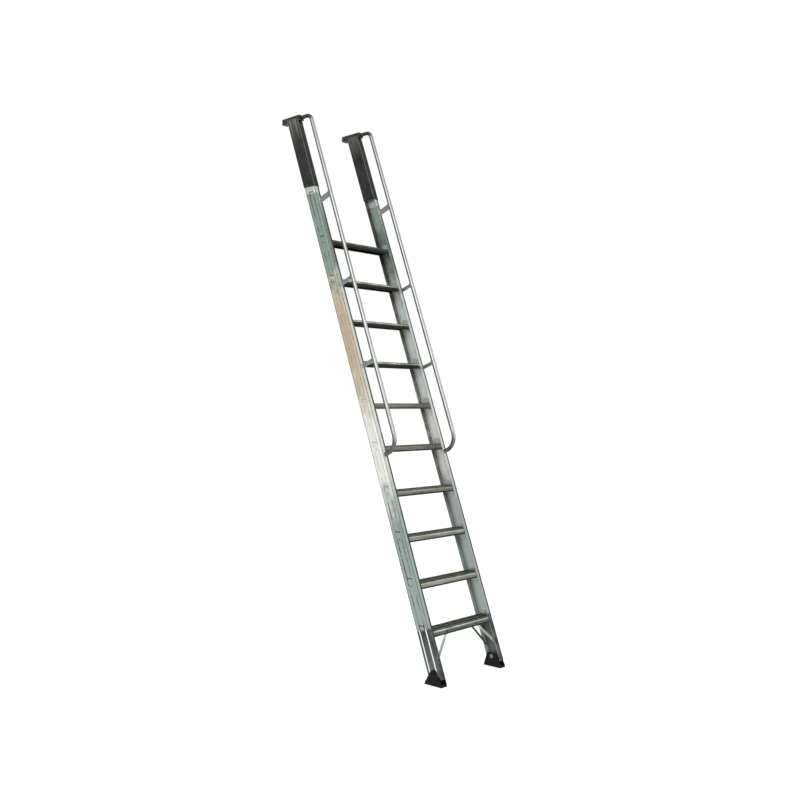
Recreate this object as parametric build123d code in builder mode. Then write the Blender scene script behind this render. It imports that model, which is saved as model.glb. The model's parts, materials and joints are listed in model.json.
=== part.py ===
from build123d import *
from math import acos, atan2, cos, hypot, radians, sin, tan
import os

# A lean-to aluminium warehouse ladder with a bent tube handrail on each side.
# X runs across the ladder, +Y points the way it leans, +Z is up, and the soles stand on Z = 0.
# All sizes are in millimetres and degrees. Each side piece is drawn for the right side (+X).

# Overall layout
lean = 20.0  # angle of the stiles from the vertical
outer_width = 552.0  # across the webs of the two stiles
tread_count = 10
rise = 250.0  # from the top of one tread to the next
first_tread_height = 285.0  # from the floor to the top of the lowest tread
top_above_last_tread = 815.0  # from the highest tread to the top of the caps

# Stile: a channel that opens inwards, with raised ribs along the outside of its web
stile_depth = 90.0
stile_flange = 32.0
stile_wall = 3.0
stile_corner = 2.0
rib_width = 8.0
rib_height = 1.2
rib_offset = 24.0  # from the middle of the web to the middle of a rib
stile_end_height = 40.0  # from the floor to the level cut at the stile's foot

# Tread: an extrusion with a ribbed top and two lips that lie along the flanges
tread_plate = 2.6
tread_lip = 33.0
lip_wall = 2.5
lip_gap = 0.2  # between a lip and the flange beside it
lip_band = 11.0  # upper band of the front lip, above a shallow recess
lip_recess = 0.8
grip_height = 1.2
grip_width = 3.0
grip_pitch = 7.0
grip_count = 3  # ribs in each of three groups
grip_group_pitch = 33.0

# Tread bracket: a leg on the web and a ledge under the tread
bracket_wall = 3.0
bracket_width = 60.0
bracket_upstand = 36.0
bracket_foot = 26.0
bracket_ledge = 25.0
bracket_gap = 0.2  # between a tread's end and the bracket's leg

# Rivets
rivet_shank = 2.4
rivet_head = 4.6
rivet_head_height = 1.8
rivet_taper = 40.0
rivet_tail = 1.5
rivet_spacing = 12.0
rivet_row_rise = 24.0  # from a tread's top to its row of rivets
rivet_low_drop = 17.0  # from a tread's top to its single rivet
hole_gap = 0.1  # radial gap round a fixed fastener

# Handrail: a bent tube
rail_radius = 12.5
rail_wall = 2.0
rail_stand_off = 101.0  # from the stile's front face to the middle of the tube
rail_top_bend = 47.0
rail_low_bend = 85.0
rail_end_tread = 5  # the tread, counted from the floor, beside which the rail ends
rail_end_drop = 43.0
rail_fit = 0.2
plug_gap = 0.1
rail_bolt_radius = 4.0
rail_bolt_depth = 12.0
rail_bolt_head = 6.5
rail_bolt_head_height = 5.0

# Stand-off: a cut length of extrusion with a foot, an arm and a half-round saddle
standoff_count = 3
standoff_length = 23.0
standoff_drop = 29.0  # of all but the top one, below the level of a tread
top_standoff_length = 36.0
standoff_foot_width = 28.0
standoff_foot = 4.0
standoff_arm = 6.0
standoff_saddle = 3.5
screw_across = 8.8  # from the arm's middle to a screw
screw_head = 4.2
screw_head_height = 2.4

# Sleeve: a black tube over the top of each stile
sleeve_wall = 2.5
sleeve_gap = 0.2
sleeve_corner = 3.0
sleeve_rib = 0.8
sleeve_drop = 470.0  # from the top of the cap to the sleeve's lower end
sleeve_rivet_drop = 35.0
sleeve_rivet_step = 19.0

# Cap: a moulding with a socket in front, a lip behind and a spigot in the channel
cap_plate = 19.0
cap_side = 0.7  # past each side of the sleeve
cap_nose = 29.0
cap_boss = 33.0
cap_lip = 37.0
cap_lip_reach = 42.0
cap_round = 4.0
socket_depth = 13.0
spigot_length = 30.0
spigot_gap = 0.3
rail_top_drop = 16.0  # from the cap's top to the middle of the tube

# Knee brace: a flat bar with a joggle, from a lip of the lowest tread to a flange
brace_wall = 3.0
brace_width = 16.0
front_brace_run = 131.0
front_brace_drop = 126.0
rear_brace_run = 112.0
rear_brace_drop = 149.0
joggle_start = 17.0
joggle_length = 8.0
brace_round = 7.5
brace_rivet_drop = 20.0  # from the lowest tread's top to the upper rivets
brace_rivet_shank = 3.0
brace_rivet_head = 5.5
brace_rivet_head_height = 2.2

# Swivel shoe, sole pad and pivot
pivot_height = 62.0
cheek_wall = 6.0
cheek_gap = 0.5  # between a cheek and the side of the stile
outer_cheek_round = 24.0  # rounded top of the outer cheek, about the pivot
inner_cheek_height = 80.0  # from the floor
inner_cheek_top = 72.0  # length of the flat top of the inner cheek
inner_cheek_round = 12.0
shoe_length = 118.0
pad_length = 122.0
pad_edge = 0.9  # past each side of the shoe
pad_height = 6.0
groove_width = 4.0
groove_depth = 2.5
groove_pitch = 14.0
groove_count = 8
swing_gap = 3.5  # between the shoe's deck and the stile's rear corner that swings past it
pivot_radius = 5.0
pivot_gap = 0.05
pivot_head = 9.0
pivot_head_height = 4.0
spacer_radius = 11.0
washer_radius = 10.0
washer_height = 2.0
nut_flat = 8.5  # from the middle of the nut to a flat
nut_height = 8.0
bolt_tail = 3.0

# Sizes that follow from those above
lean_sin = sin(radians(lean))
lean_cos = cos(radians(lean))
lean_tan = tan(radians(lean))
up_stile = Vector(0, lean_sin, lean_cos)
rearward = Vector(0, lean_cos, -lean_sin)
last_tread_height = first_tread_height + rise * (tread_count - 1)
top_height = last_tread_height + top_above_last_tread
plate_height = top_height - cap_plate
sleeve_end_height = top_height - sleeve_drop
web_outer = outer_width / 2
web_inner = web_outer - stile_wall
flange_tip = web_outer - stile_flange
flange_middle = web_outer - stile_flange / 2
lip_front = stile_wall + lip_gap
lip_rear = stile_depth - stile_wall - lip_gap
sleeve_out = sleeve_gap + sleeve_wall
pivot_behind = stile_depth / 2
outer_cheek_face = web_outer + rib_height + cheek_gap
inner_cheek_face = flange_tip - cheek_gap
shoe_outer = outer_cheek_face + cheek_wall
shoe_inner = inner_cheek_face - cheek_wall
land_offset = grip_group_pitch / 2
tread_numbers = range(1, tread_count + 1)

# The ladder's middle, front to back, lies on Y = 0: the pads reach furthest forward
# and the lips of the caps furthest back
toe_ahead = pivot_height * lean_tan + pivot_behind / lean_cos - pad_length / 2
lip_behind = top_height * lean_tan + stile_depth / lean_cos + cap_lip_reach
foot_line = -(toe_ahead + lip_behind) / 2


def level_y(behind, height):
    """Y of a point at a height, a distance square behind the stiles' front face."""
    return foot_line + height * lean_tan + behind / lean_cos


def along(behind, height):
    """Distance up the stile, from floor level, of the same point."""
    return (height + behind * lean_sin) / lean_cos


def spot(across, behind, distance):
    """The point at a place across, behind and along the stile."""
    return Vector(across, foot_line, 0) + rearward * behind + up_stile * distance


def middle_y(height):
    """Y of the stiles' middle line at a height."""
    return level_y(stile_depth / 2, height)


def tread_top(number):
    """Height of a tread, counted from the floor."""
    return first_tread_height + rise * (number - 1)


# Local X across, local Y square behind the front face, local Z up the stile
stile_plane = Plane(origin=spot(0, 0, 0), x_dir=(1, 0, 0), z_dir=up_stile)
# Local X across, local Y up the stile, local Z forward
front_plane = Plane(origin=spot(0, 0, 0), x_dir=(1, 0, 0), z_dir=-rearward)


def web_row(height):
    """Three places across the web at one height."""
    return [(middle_y(height) + rivet_spacing * step, height) for step in (-1, 0, 1)]


# Places of the fasteners: on the web as (Y, Z), on a flange as (X, distance up the stile)
tread_rivet_places = []
for number in tread_numbers:
    low_rivet_height = tread_top(number) - rivet_low_drop
    tread_rivet_places += web_row(tread_top(number) + rivet_row_rise)
    tread_rivet_places.append((middle_y(low_rivet_height), low_rivet_height))
sleeve_row_height = sleeve_end_height - sleeve_rivet_drop
sleeve_low_height = sleeve_row_height - sleeve_rivet_step
sleeve_rivet_places = web_row(sleeve_row_height)
sleeve_rivet_places.append((middle_y(sleeve_low_height) + rivet_spacing, sleeve_low_height))
lower_standoffs = range(standoff_count - 1, 0, -1)  # steps down from the top stand-off
standoff_heights = [last_tread_height + rise - 2 * rise * step - standoff_drop for step in lower_standoffs]
standoff_heights.append(last_tread_height + rise)
standoff_lengths = [standoff_length for step in lower_standoffs]
standoff_lengths.append(top_standoff_length)
screw_places = [
    (flange_middle + screw_across * step, along(0, height))
    for height in standoff_heights
    for step in (-1, 1)
]
rail_end = along(0, tread_top(rail_end_tread) - rail_end_drop)
brace_top_height = first_tread_height - brace_rivet_drop
front_brace_low = along(stile_wall, brace_top_height - front_brace_drop)
rear_brace_low = along(stile_depth - stile_wall, brace_top_height - rear_brace_drop)
front_brace_high = along(lip_front + lip_wall, brace_top_height)
rear_brace_high = along(lip_rear - lip_wall, brace_top_height)

# The shoe's deck clears the circle swept by the rear corner of the stile's cut end
corner_drop = pivot_height - stile_end_height
corner_behind = (stile_depth - pivot_behind) / lean_cos - corner_drop * lean_tan
shoe_deck = pivot_height - hypot(corner_behind, corner_drop) - swing_gap


def save(piece, name):
    """Label a finished piece and write its file."""
    piece.label = name
    export_step(piece, f"parts/{name}.step")


def save_pair(piece, name):
    """Write a right-hand piece and its mirror image on the left."""
    save(piece, name + "_right")
    with BuildPart() as twin:
        mirror(piece, about=Plane.YZ)
    save(twin.part, name + "_left")


def stile():
    """The channel, cut level at its foot and under the cap."""
    start = along(0, stile_end_height)
    with BuildPart() as channel:
        with BuildSketch(stile_plane.offset(start)) as section:
            with Locations((flange_middle, stile_depth / 2)):
                Rectangle(stile_flange, stile_depth)
            fillet(section.vertices().group_by(Axis.X)[-1], stile_corner)
            with Locations((flange_tip, stile_depth / 2)):
                inside = (stile_flange - stile_wall, stile_depth - 2 * stile_wall)
                Rectangle(*inside, align=(Align.MIN, Align.CENTER), mode=Mode.SUBTRACT)
            with Locations(*[(web_outer, stile_depth / 2 + rib_offset * step) for step in (-1, 1)]):
                Rectangle(rib_height, rib_width, align=(Align.MIN, Align.CENTER))
        extrude(amount=along(stile_depth, top_height) - start)
        split(bisect_by=Plane.XY.offset(plate_height), keep=Keep.BOTTOM)
        split(bisect_by=Plane.XY.offset(stile_end_height), keep=Keep.TOP)
        with BuildSketch(Plane.YZ.offset(web_inner)):
            with Locations(*tread_rivet_places, *sleeve_rivet_places):
                Circle(rivet_shank + hole_gap)
            with Locations((middle_y(pivot_height), pivot_height)):
                Circle(pivot_radius + hole_gap)
        extrude(amount=stile_wall, mode=Mode.SUBTRACT)
        with BuildSketch(front_plane):
            with Locations(*screw_places):
                Circle(rivet_shank + hole_gap)
            with Locations((flange_middle, rail_end)):
                Circle(rail_bolt_radius + hole_gap)
            with Locations((flange_middle, front_brace_low)):
                Circle(brace_rivet_shank + hole_gap)
        extrude(amount=-stile_wall, mode=Mode.SUBTRACT)
        with BuildSketch(Plane(spot(flange_middle, stile_depth, rear_brace_low), z_dir=rearward)):
            Circle(brace_rivet_shank + hole_gap)
        extrude(amount=-stile_wall, mode=Mode.SUBTRACT)
    return channel.part


def tread(number):
    """One tread: a plate with grip ribs and two lips parallel to the flanges."""
    top = tread_top(number)
    plate_top = top - grip_height
    lip_end = top - tread_lip
    band_end = top - lip_band
    inner_top = plate_top - tread_plate
    recessed = lip_front + lip_recess
    outline = [
        (lip_front, plate_top),
        (lip_rear, plate_top),
        (lip_rear, lip_end),
        (lip_rear - lip_wall, lip_end),
        (lip_rear - lip_wall, inner_top),
        (lip_front + lip_wall, inner_top),
        (lip_front + lip_wall, lip_end),
        (recessed, lip_end),
        (recessed, band_end),
        (lip_front, band_end),
    ]
    half_length = web_inner - bracket_wall - bracket_gap
    with BuildPart() as step:
        with BuildSketch(Plane.YZ):
            with BuildLine():
                Polyline(*[(level_y(behind, height), height) for behind, height in outline], close=True)
            make_face()
            with Locations((middle_y(top), plate_top + grip_height / 2)):
                with GridLocations(grip_group_pitch, 0, 3, 1):
                    with GridLocations(grip_pitch, 0, grip_count, 1):
                        Rectangle(grip_width, grip_height)
        extrude(amount=half_length, both=True)
        with BuildSketch(Plane.XY.offset(plate_top)):
            for side in (-1, 1):
                with Locations((side * (half_length - bracket_ledge / 2), middle_y(top))):
                    with GridLocations(0, 2 * land_offset, 1, 2):
                        Circle(rivet_shank + hole_gap)
        extrude(amount=-tread_plate, mode=Mode.SUBTRACT)
        if number == 1:
            with BuildSketch(front_plane.offset(-lip_front)):
                for side in (-1, 1):
                    with Locations((side * (flange_middle - front_brace_run), front_brace_high)):
                        Circle(brace_rivet_shank + hole_gap)
            extrude(amount=-lip_wall, mode=Mode.SUBTRACT)
            with BuildSketch(front_plane.offset(-lip_rear)):
                for side in (-1, 1):
                    with Locations((side * (flange_middle - rear_brace_run), rear_brace_high)):
                        Circle(brace_rivet_shank + hole_gap)
            extrude(amount=lip_wall, mode=Mode.SUBTRACT)
    return step.part


def tread_brackets():
    """All brackets of one stile."""
    ledge_across = web_inner - bracket_wall - bracket_gap - bracket_ledge / 2
    with BuildPart() as brackets:
        for number in tread_numbers:
            top = tread_top(number)
            ledge_top = top - grip_height - tread_plate
            leg_middle = middle_y(top + (bracket_upstand - bracket_foot) / 2)
            with BuildSketch(Plane.XZ.offset(-leg_middle)):
                with Locations((web_inner, top - bracket_foot)):
                    Rectangle(bracket_wall, bracket_foot + bracket_upstand, align=(Align.MAX, Align.MIN))
                with Locations((web_inner, ledge_top)):
                    Rectangle(bracket_wall + bracket_ledge, bracket_wall, align=(Align.MAX, Align.MAX))
            extrude(amount=bracket_width / 2, both=True)
            with BuildSketch(Plane.XY.offset(ledge_top)):
                with Locations((ledge_across, middle_y(top))):
                    with GridLocations(0, 2 * land_offset, 1, 2):
                        Circle(rivet_shank + hole_gap)
            extrude(amount=-bracket_wall, mode=Mode.SUBTRACT)
        with BuildSketch(Plane.YZ.offset(web_inner)):
            with Locations(*tread_rivet_places):
                Circle(rivet_shank + hole_gap)
        extrude(amount=-bracket_wall, mode=Mode.SUBTRACT)
    return brackets.part


def web_rivets(places, grip):
    """Rivets through the web, with their heads outside."""
    with BuildPart() as rivets:
        with BuildSketch(Plane.YZ.offset(web_outer)):
            with Locations(*places):
                Circle(rivet_head)
        extrude(amount=rivet_head_height, taper=rivet_taper)
        with BuildSketch(Plane.YZ.offset(web_outer)):
            with Locations(*places):
                Circle(rivet_shank)
        extrude(amount=-grip - rivet_tail)
    return rivets.part


def ledge_rivets():
    """Two rivets down through each tread's end into the ledge."""
    ledge_across = web_inner - bracket_wall - bracket_gap - bracket_ledge / 2
    with BuildPart() as rivets:
        for number in tread_numbers:
            top = tread_top(number)
            with BuildSketch(Plane.XY.offset(top - grip_height)):
                with Locations((ledge_across, middle_y(top))):
                    with GridLocations(0, 2 * land_offset, 1, 2):
                        Circle(rivet_head)
            extrude(amount=rivet_head_height, taper=rivet_taper)
            with BuildSketch(Plane.XY.offset(top - grip_height)):
                with Locations((ledge_across, middle_y(top))):
                    with GridLocations(0, 2 * land_offset, 1, 2):
                        Circle(rivet_shank)
            extrude(amount=-tread_plate - bracket_wall - rivet_tail)
    return rivets.part


def handrail():
    """The tube: level out of the cap, down beside the stile, and square back to its front face."""
    tube_height = top_height - rail_top_drop
    low_corner = spot(flange_middle, -rail_stand_off, rail_end)
    low_end = spot(flange_middle, 0, rail_end)
    with BuildPart() as rail:
        with BuildLine(Plane.YZ.offset(flange_middle)) as path:
            FilletPolyline(
                (level_y(0, top_height) - cap_nose + socket_depth, tube_height),
                (level_y(-rail_stand_off, tube_height), tube_height),
                (low_corner.Y, low_corner.Z),
                (low_end.Y, low_end.Z),
                radius=[rail_top_bend, rail_low_bend],
            )
        with BuildSketch(Plane(path.line @ 0, z_dir=path.line % 0)):
            Circle(rail_radius)
            Circle(rail_radius - rail_wall, mode=Mode.SUBTRACT)
        sweep(path=path.line)
    return rail.part


def rail_plug():
    """The tapped plug inside the straight lower end of the rail."""
    with BuildPart() as plug:
        with BuildSketch(front_plane):
            with Locations((flange_middle, rail_end)):
                Circle(rail_radius - rail_wall - plug_gap)
                Circle(rail_bolt_radius + hole_gap, mode=Mode.SUBTRACT)
        extrude(amount=rail_stand_off - rail_low_bend)
    return plug.part


def rail_bolt():
    """The bolt from inside the channel into the plug."""
    with BuildPart() as bolt:
        with BuildSketch(front_plane.offset(-stile_wall)):
            with Locations((flange_middle, rail_end)):
                RegularPolygon(rail_bolt_head, 6, major_radius=False)
        extrude(amount=-rail_bolt_head_height)
        with BuildSketch(front_plane.offset(-stile_wall)):
            with Locations((flange_middle, rail_end)):
                Circle(rail_bolt_radius)
        extrude(amount=stile_wall + rail_bolt_depth)
    return bolt.part


def standoff(height, length):
    """A foot on the flange, an arm, and a half-round saddle behind the rail."""
    saddle_inner = rail_radius + rail_fit
    saddle_outer = saddle_inner + standoff_saddle
    middle = along(0, height)
    with BuildPart() as bracket:
        with BuildSketch(stile_plane.offset(middle - length / 2)):
            with Locations((flange_middle, 0)):
                Rectangle(standoff_foot_width, standoff_foot, align=(Align.CENTER, Align.MAX))
                Rectangle(standoff_arm, rail_stand_off, align=(Align.CENTER, Align.MAX))
            with Locations((flange_middle, -rail_stand_off)):
                Circle(saddle_outer)
                Circle(saddle_inner, mode=Mode.SUBTRACT)
                mouth = (2 * saddle_outer, saddle_outer)
                Rectangle(*mouth, align=(Align.CENTER, Align.MAX), mode=Mode.SUBTRACT)
        extrude(amount=length)
        with BuildSketch(front_plane):
            with Locations(*[(flange_middle + screw_across * step, middle) for step in (-1, 1)]):
                Circle(rivet_shank + hole_gap)
        extrude(amount=standoff_foot, mode=Mode.SUBTRACT)
    return bracket.part


def standoff_screws():
    """Two screws in each foot, tapped into the flange."""
    with BuildPart() as screws:
        with BuildSketch(front_plane.offset(standoff_foot)):
            with Locations(*screw_places):
                Circle(screw_head)
        extrude(amount=screw_head_height)
        with BuildSketch(front_plane.offset(standoff_foot)):
            with Locations(*screw_places):
                Circle(rivet_shank)
        extrude(amount=-standoff_foot - stile_wall)
    return screws.part


def sleeve():
    """A tube round the channel, cut level at both ends, with ribs over the web's ribs."""
    inner_width = stile_flange + rib_height + 2 * sleeve_gap
    inner_depth = stile_depth + 2 * sleeve_gap
    middle = (flange_tip + web_outer + rib_height) / 2
    start = along(0, sleeve_end_height) - stile_depth
    outside = middle + inner_width / 2 + sleeve_wall
    with BuildPart() as tube:
        with BuildSketch(stile_plane.offset(start)):
            with Locations((middle, stile_depth / 2)):
                RectangleRounded(inner_width + 2 * sleeve_wall, inner_depth + 2 * sleeve_wall, sleeve_corner)
                Rectangle(inner_width, inner_depth, mode=Mode.SUBTRACT)
            with Locations(*[(outside, stile_depth / 2 + rib_offset * step) for step in (-1, 1)]):
                Rectangle(sleeve_rib, rib_width, align=(Align.MIN, Align.CENTER))
        extrude(amount=along(stile_depth, top_height) + stile_depth - start)
        split(bisect_by=Plane.XY.offset(plate_height), keep=Keep.BOTTOM)
        split(bisect_by=Plane.XY.offset(sleeve_end_height), keep=Keep.TOP)
    return tube.part


def top_cap():
    """The moulding on the stile: socket boss, plate, rear lip and spigot."""
    front = level_y(0, top_height) - cap_nose
    rear = level_y(stile_depth, top_height) + cap_lip_reach
    ahead = -sleeve_out - sleeve_gap
    after = stile_depth + sleeve_out + sleeve_gap
    boss_end = top_height - cap_boss
    lip_end = top_height - cap_lip
    inner_side = flange_tip - sleeve_out - cap_side
    outer_side = web_outer + rib_height + sleeve_out + sleeve_rib + cap_side
    spigot_width = web_inner - flange_tip - spigot_gap
    spigot_depth = (stile_depth - 2 * stile_wall - 2 * spigot_gap) / lean_cos
    with BuildPart() as cap:
        with BuildSketch(Plane.YZ.offset(inner_side)) as section:
            with BuildLine():
                Polyline(
                    (front, top_height),
                    (rear, top_height),
                    (rear, lip_end),
                    (level_y(after, lip_end), lip_end),
                    (level_y(after, plate_height), plate_height),
                    (level_y(ahead, plate_height), plate_height),
                    (level_y(ahead, boss_end), boss_end),
                    (front, boss_end),
                    close=True,
                )
            make_face()
            corners = section.vertices().group_by(Axis.X)
            fillet(corners[0] + corners[-1], cap_round)
        extrude(amount=outer_side - inner_side)
        with BuildSketch(Plane.XZ.offset(-front)):
            with Locations((flange_middle, top_height - rail_top_drop)):
                Circle(rail_radius + rail_fit)
        extrude(amount=-socket_depth, mode=Mode.SUBTRACT)
        with BuildSketch(Plane.XY.offset(plate_height)):
            with Locations((flange_tip + spigot_width / 2, middle_y(plate_height))):
                Rectangle(spigot_width, spigot_depth)
        extrude(amount=spigot_length, dir=-up_stile)
    return cap.part


def knee_brace(flange_face, lip_face, run, low, high, inward):
    """A flat bar on the inside of a flange, joggled to the inside of the lowest tread's lip."""
    foot = spot(flange_middle, flange_face, low)
    head = spot(flange_middle - run, flange_face, high)
    bar = (head - foot).normalized()
    length = (head - foot).length
    step = abs(lip_face - flange_face)
    joggle_end = joggle_start + joggle_length
    half = brace_width / 2
    with BuildPart() as strap:
        with BuildSketch(Plane(origin=foot, x_dir=bar, z_dir=bar.cross(inward))):
            with BuildLine():
                Polyline(
                    (-half, 0),
                    (joggle_start, 0),
                    (joggle_end, step),
                    (length + half, step),
                    (length + half, step + brace_wall),
                    (joggle_end, step + brace_wall),
                    (joggle_start, brace_wall),
                    (-half, brace_wall),
                    close=True,
                )
            make_face()
        extrude(amount=half, both=True)
        fillet(strap.edges().filter_by(Axis(foot, inward)), brace_round)
        with BuildSketch(Plane(origin=foot, x_dir=bar, z_dir=inward)):
            with Locations((0, 0), (length, 0)):
                Circle(brace_rivet_shank + hole_gap)
        extrude(amount=step + brace_wall, mode=Mode.SUBTRACT)
    return strap.part


def brace_rivets():
    """One rivet at each end of both knee braces of a side, with its head on the outside."""
    front_high = spot(flange_middle - front_brace_run, lip_front + lip_recess, front_brace_high)
    rear_high = spot(flange_middle - rear_brace_run, lip_rear, rear_brace_high)
    rivets_to_make = [
        (spot(flange_middle, 0, front_brace_low), -rearward, stile_wall),
        (front_high, -rearward, lip_wall - lip_recess),
        (spot(flange_middle, stile_depth, rear_brace_low), rearward, stile_wall),
        (rear_high, rearward, lip_wall),
    ]
    with BuildPart() as rivets:
        for place, outward, grip in rivets_to_make:
            with BuildSketch(Plane(origin=place, z_dir=outward)):
                Circle(brace_rivet_head)
            extrude(amount=brace_rivet_head_height, taper=rivet_taper)
            with BuildSketch(Plane(origin=place, z_dir=outward)):
                Circle(brace_rivet_shank)
            extrude(amount=-grip - brace_wall - rivet_tail)
    return rivets.part


def shoe():
    """The swivel shoe: a cheek on each side of the stile and a deck under its end."""
    middle = middle_y(pivot_height)
    toe_reach = shoe_length / 2
    toe_drop = pivot_height - shoe_deck
    flank_turn = acos(outer_cheek_round / hypot(toe_reach, toe_drop)) - atan2(toe_drop, toe_reach)
    touch_reach = outer_cheek_round * cos(flank_turn)
    touch_height = pivot_height + outer_cheek_round * sin(flank_turn)
    with BuildPart() as body:
        with BuildSketch(Plane.YZ.offset(outer_cheek_face)):
            with BuildLine():
                ThreePointArc(
                    (middle - touch_reach, touch_height),
                    (middle, pivot_height + outer_cheek_round),
                    (middle + touch_reach, touch_height),
                )
                Polyline(
                    (middle + touch_reach, touch_height),
                    (middle + toe_reach, shoe_deck),
                    (middle + toe_reach, pad_height),
                    (middle - toe_reach, pad_height),
                    (middle - toe_reach, shoe_deck),
                    (middle - touch_reach, touch_height),
                )
            make_face()
        extrude(amount=cheek_wall)
        with BuildSketch(Plane.YZ.offset(inner_cheek_face)) as cheek:
            with BuildLine():
                Polyline(
                    (middle - inner_cheek_top / 2, inner_cheek_height),
                    (middle + inner_cheek_top / 2, inner_cheek_height),
                    (middle + toe_reach, shoe_deck),
                    (middle + toe_reach, pad_height),
                    (middle - toe_reach, pad_height),
                    (middle - toe_reach, shoe_deck),
                    close=True,
                )
            make_face()
            fillet(cheek.vertices().group_by(Axis.Y)[-1], inner_cheek_round)
        extrude(amount=-cheek_wall)
        with BuildSketch(Plane.YZ.offset(shoe_inner)):
            with Locations((middle, pad_height)):
                Rectangle(shoe_length, shoe_deck - pad_height, align=(Align.CENTER, Align.MIN))
        extrude(amount=shoe_outer - shoe_inner)
        with BuildSketch(Plane.YZ.offset(shoe_inner)):
            with Locations((middle, pivot_height)):
                Circle(pivot_radius + pivot_gap)
        extrude(amount=shoe_outer - shoe_inner, mode=Mode.SUBTRACT)
    return body.part


def sole_pad():
    """The grooved pad under the shoe."""
    across = (shoe_inner + shoe_outer) / 2
    pad_width = shoe_outer - shoe_inner + 2 * pad_edge
    with BuildPart() as pad:
        with BuildSketch(Plane.XY):
            with Locations((across, middle_y(pivot_height))):
                Rectangle(pad_width, pad_length)
        extrude(amount=pad_height)
        with BuildSketch(Plane.XY):
            with Locations((across, middle_y(pivot_height))):
                with GridLocations(0, groove_pitch, 1, groove_count):
                    Rectangle(pad_width, groove_width)
        extrude(amount=groove_depth, mode=Mode.SUBTRACT)
    return pad.part


def pivot_rings(radius, spans):
    """Plain rings on the pivot, each from one X place to another."""
    with BuildPart() as rings:
        for start, stop in spans:
            with BuildSketch(Plane.YZ.offset(start)):
                with Locations((middle_y(pivot_height), pivot_height)):
                    Circle(radius)
                    Circle(pivot_radius + hole_gap, mode=Mode.SUBTRACT)
            extrude(amount=stop - start)
    return rings.part


def pivot_bolt():
    """The bolt through both cheeks and the web, with its head outside."""
    with BuildPart() as bolt:
        with BuildSketch(Plane.YZ.offset(shoe_outer)):
            with Locations((middle_y(pivot_height), pivot_height)):
                Circle(pivot_head)
        extrude(amount=pivot_head_height, taper=rivet_taper)
        with BuildSketch(Plane.YZ.offset(shoe_outer)):
            with Locations((middle_y(pivot_height), pivot_height)):
                Circle(pivot_radius)
        extrude(amount=shoe_inner - washer_height - nut_height - bolt_tail - shoe_outer)
    return bolt.part


def pivot_nut():
    """The nut on the inner cheek."""
    with BuildPart() as nut:
        with BuildSketch(Plane.YZ.offset(shoe_inner - washer_height)):
            with Locations((middle_y(pivot_height), pivot_height)):
                RegularPolygon(nut_flat, 6, major_radius=False)
                Circle(pivot_radius + hole_gap, mode=Mode.SUBTRACT)
        extrude(amount=-nut_height)
    return nut.part


os.makedirs("parts", exist_ok=True)

for number in tread_numbers:
    save(tread(number), f"tread_{number:02d}")
save_pair(stile(), "stile")
save_pair(tread_brackets(), "tread_brackets")
save_pair(web_rivets(tread_rivet_places, stile_wall + bracket_wall), "tread_rivets")
save_pair(ledge_rivets(), "ledge_rivets")
save_pair(handrail(), "handrail")
save_pair(rail_plug(), "rail_plug")
save_pair(rail_bolt(), "rail_bolt")
for step, (height, length) in enumerate(zip(standoff_heights, standoff_lengths)):
    save_pair(standoff(height, length), f"standoff_{step + 1}")
save_pair(standoff_screws(), "standoff_screws")
save_pair(sleeve(), "sleeve")
save_pair(web_rivets(sleeve_rivet_places, stile_wall), "sleeve_rivets")
save_pair(top_cap(), "top_cap")
front_strap = (stile_wall, lip_front + lip_wall, front_brace_run, front_brace_low, front_brace_high)
rear_strap = (stile_depth - stile_wall, lip_rear - lip_wall, rear_brace_run, rear_brace_low, rear_brace_high)
save_pair(knee_brace(*front_strap, rearward), "front_brace")
save_pair(knee_brace(*rear_strap, -rearward), "rear_brace")
save_pair(brace_rivets(), "brace_rivets")
save_pair(shoe(), "shoe")
save_pair(sole_pad(), "sole_pad")
save_pair(pivot_bolt(), "pivot_bolt")
spacer_spans = [(web_outer, outer_cheek_face), (inner_cheek_face, web_inner)]
save_pair(pivot_rings(spacer_radius, spacer_spans), "pivot_spacer")
save_pair(pivot_rings(washer_radius, [(shoe_inner - washer_height, shoe_inner)]), "pivot_washer")
save_pair(pivot_nut(), "pivot_nut")
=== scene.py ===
# %% [markdown]
# # A lean-to warehouse ladder with handrails
# The ladder leans on a shelf or a wall: two aluminium stiles, ten treads, a bent tube handrail on
# each side, black sleeves and caps at the top and swivel shoes at the foot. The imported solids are
# loaded first as a fixed frame. They hold the true sizes and places, but their edges are knife
# sharp and their curves are faceted, so most pieces are modelled again here with the soft edges
# that a die, a bender or a mould leaves.

# %% Load the frame
import json
from functools import partial
from math import acos, atan2, cos, degrees, hypot, pi, radians, sin, tan

import bmesh
import bpy
from mathutils import Matrix, Vector

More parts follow.
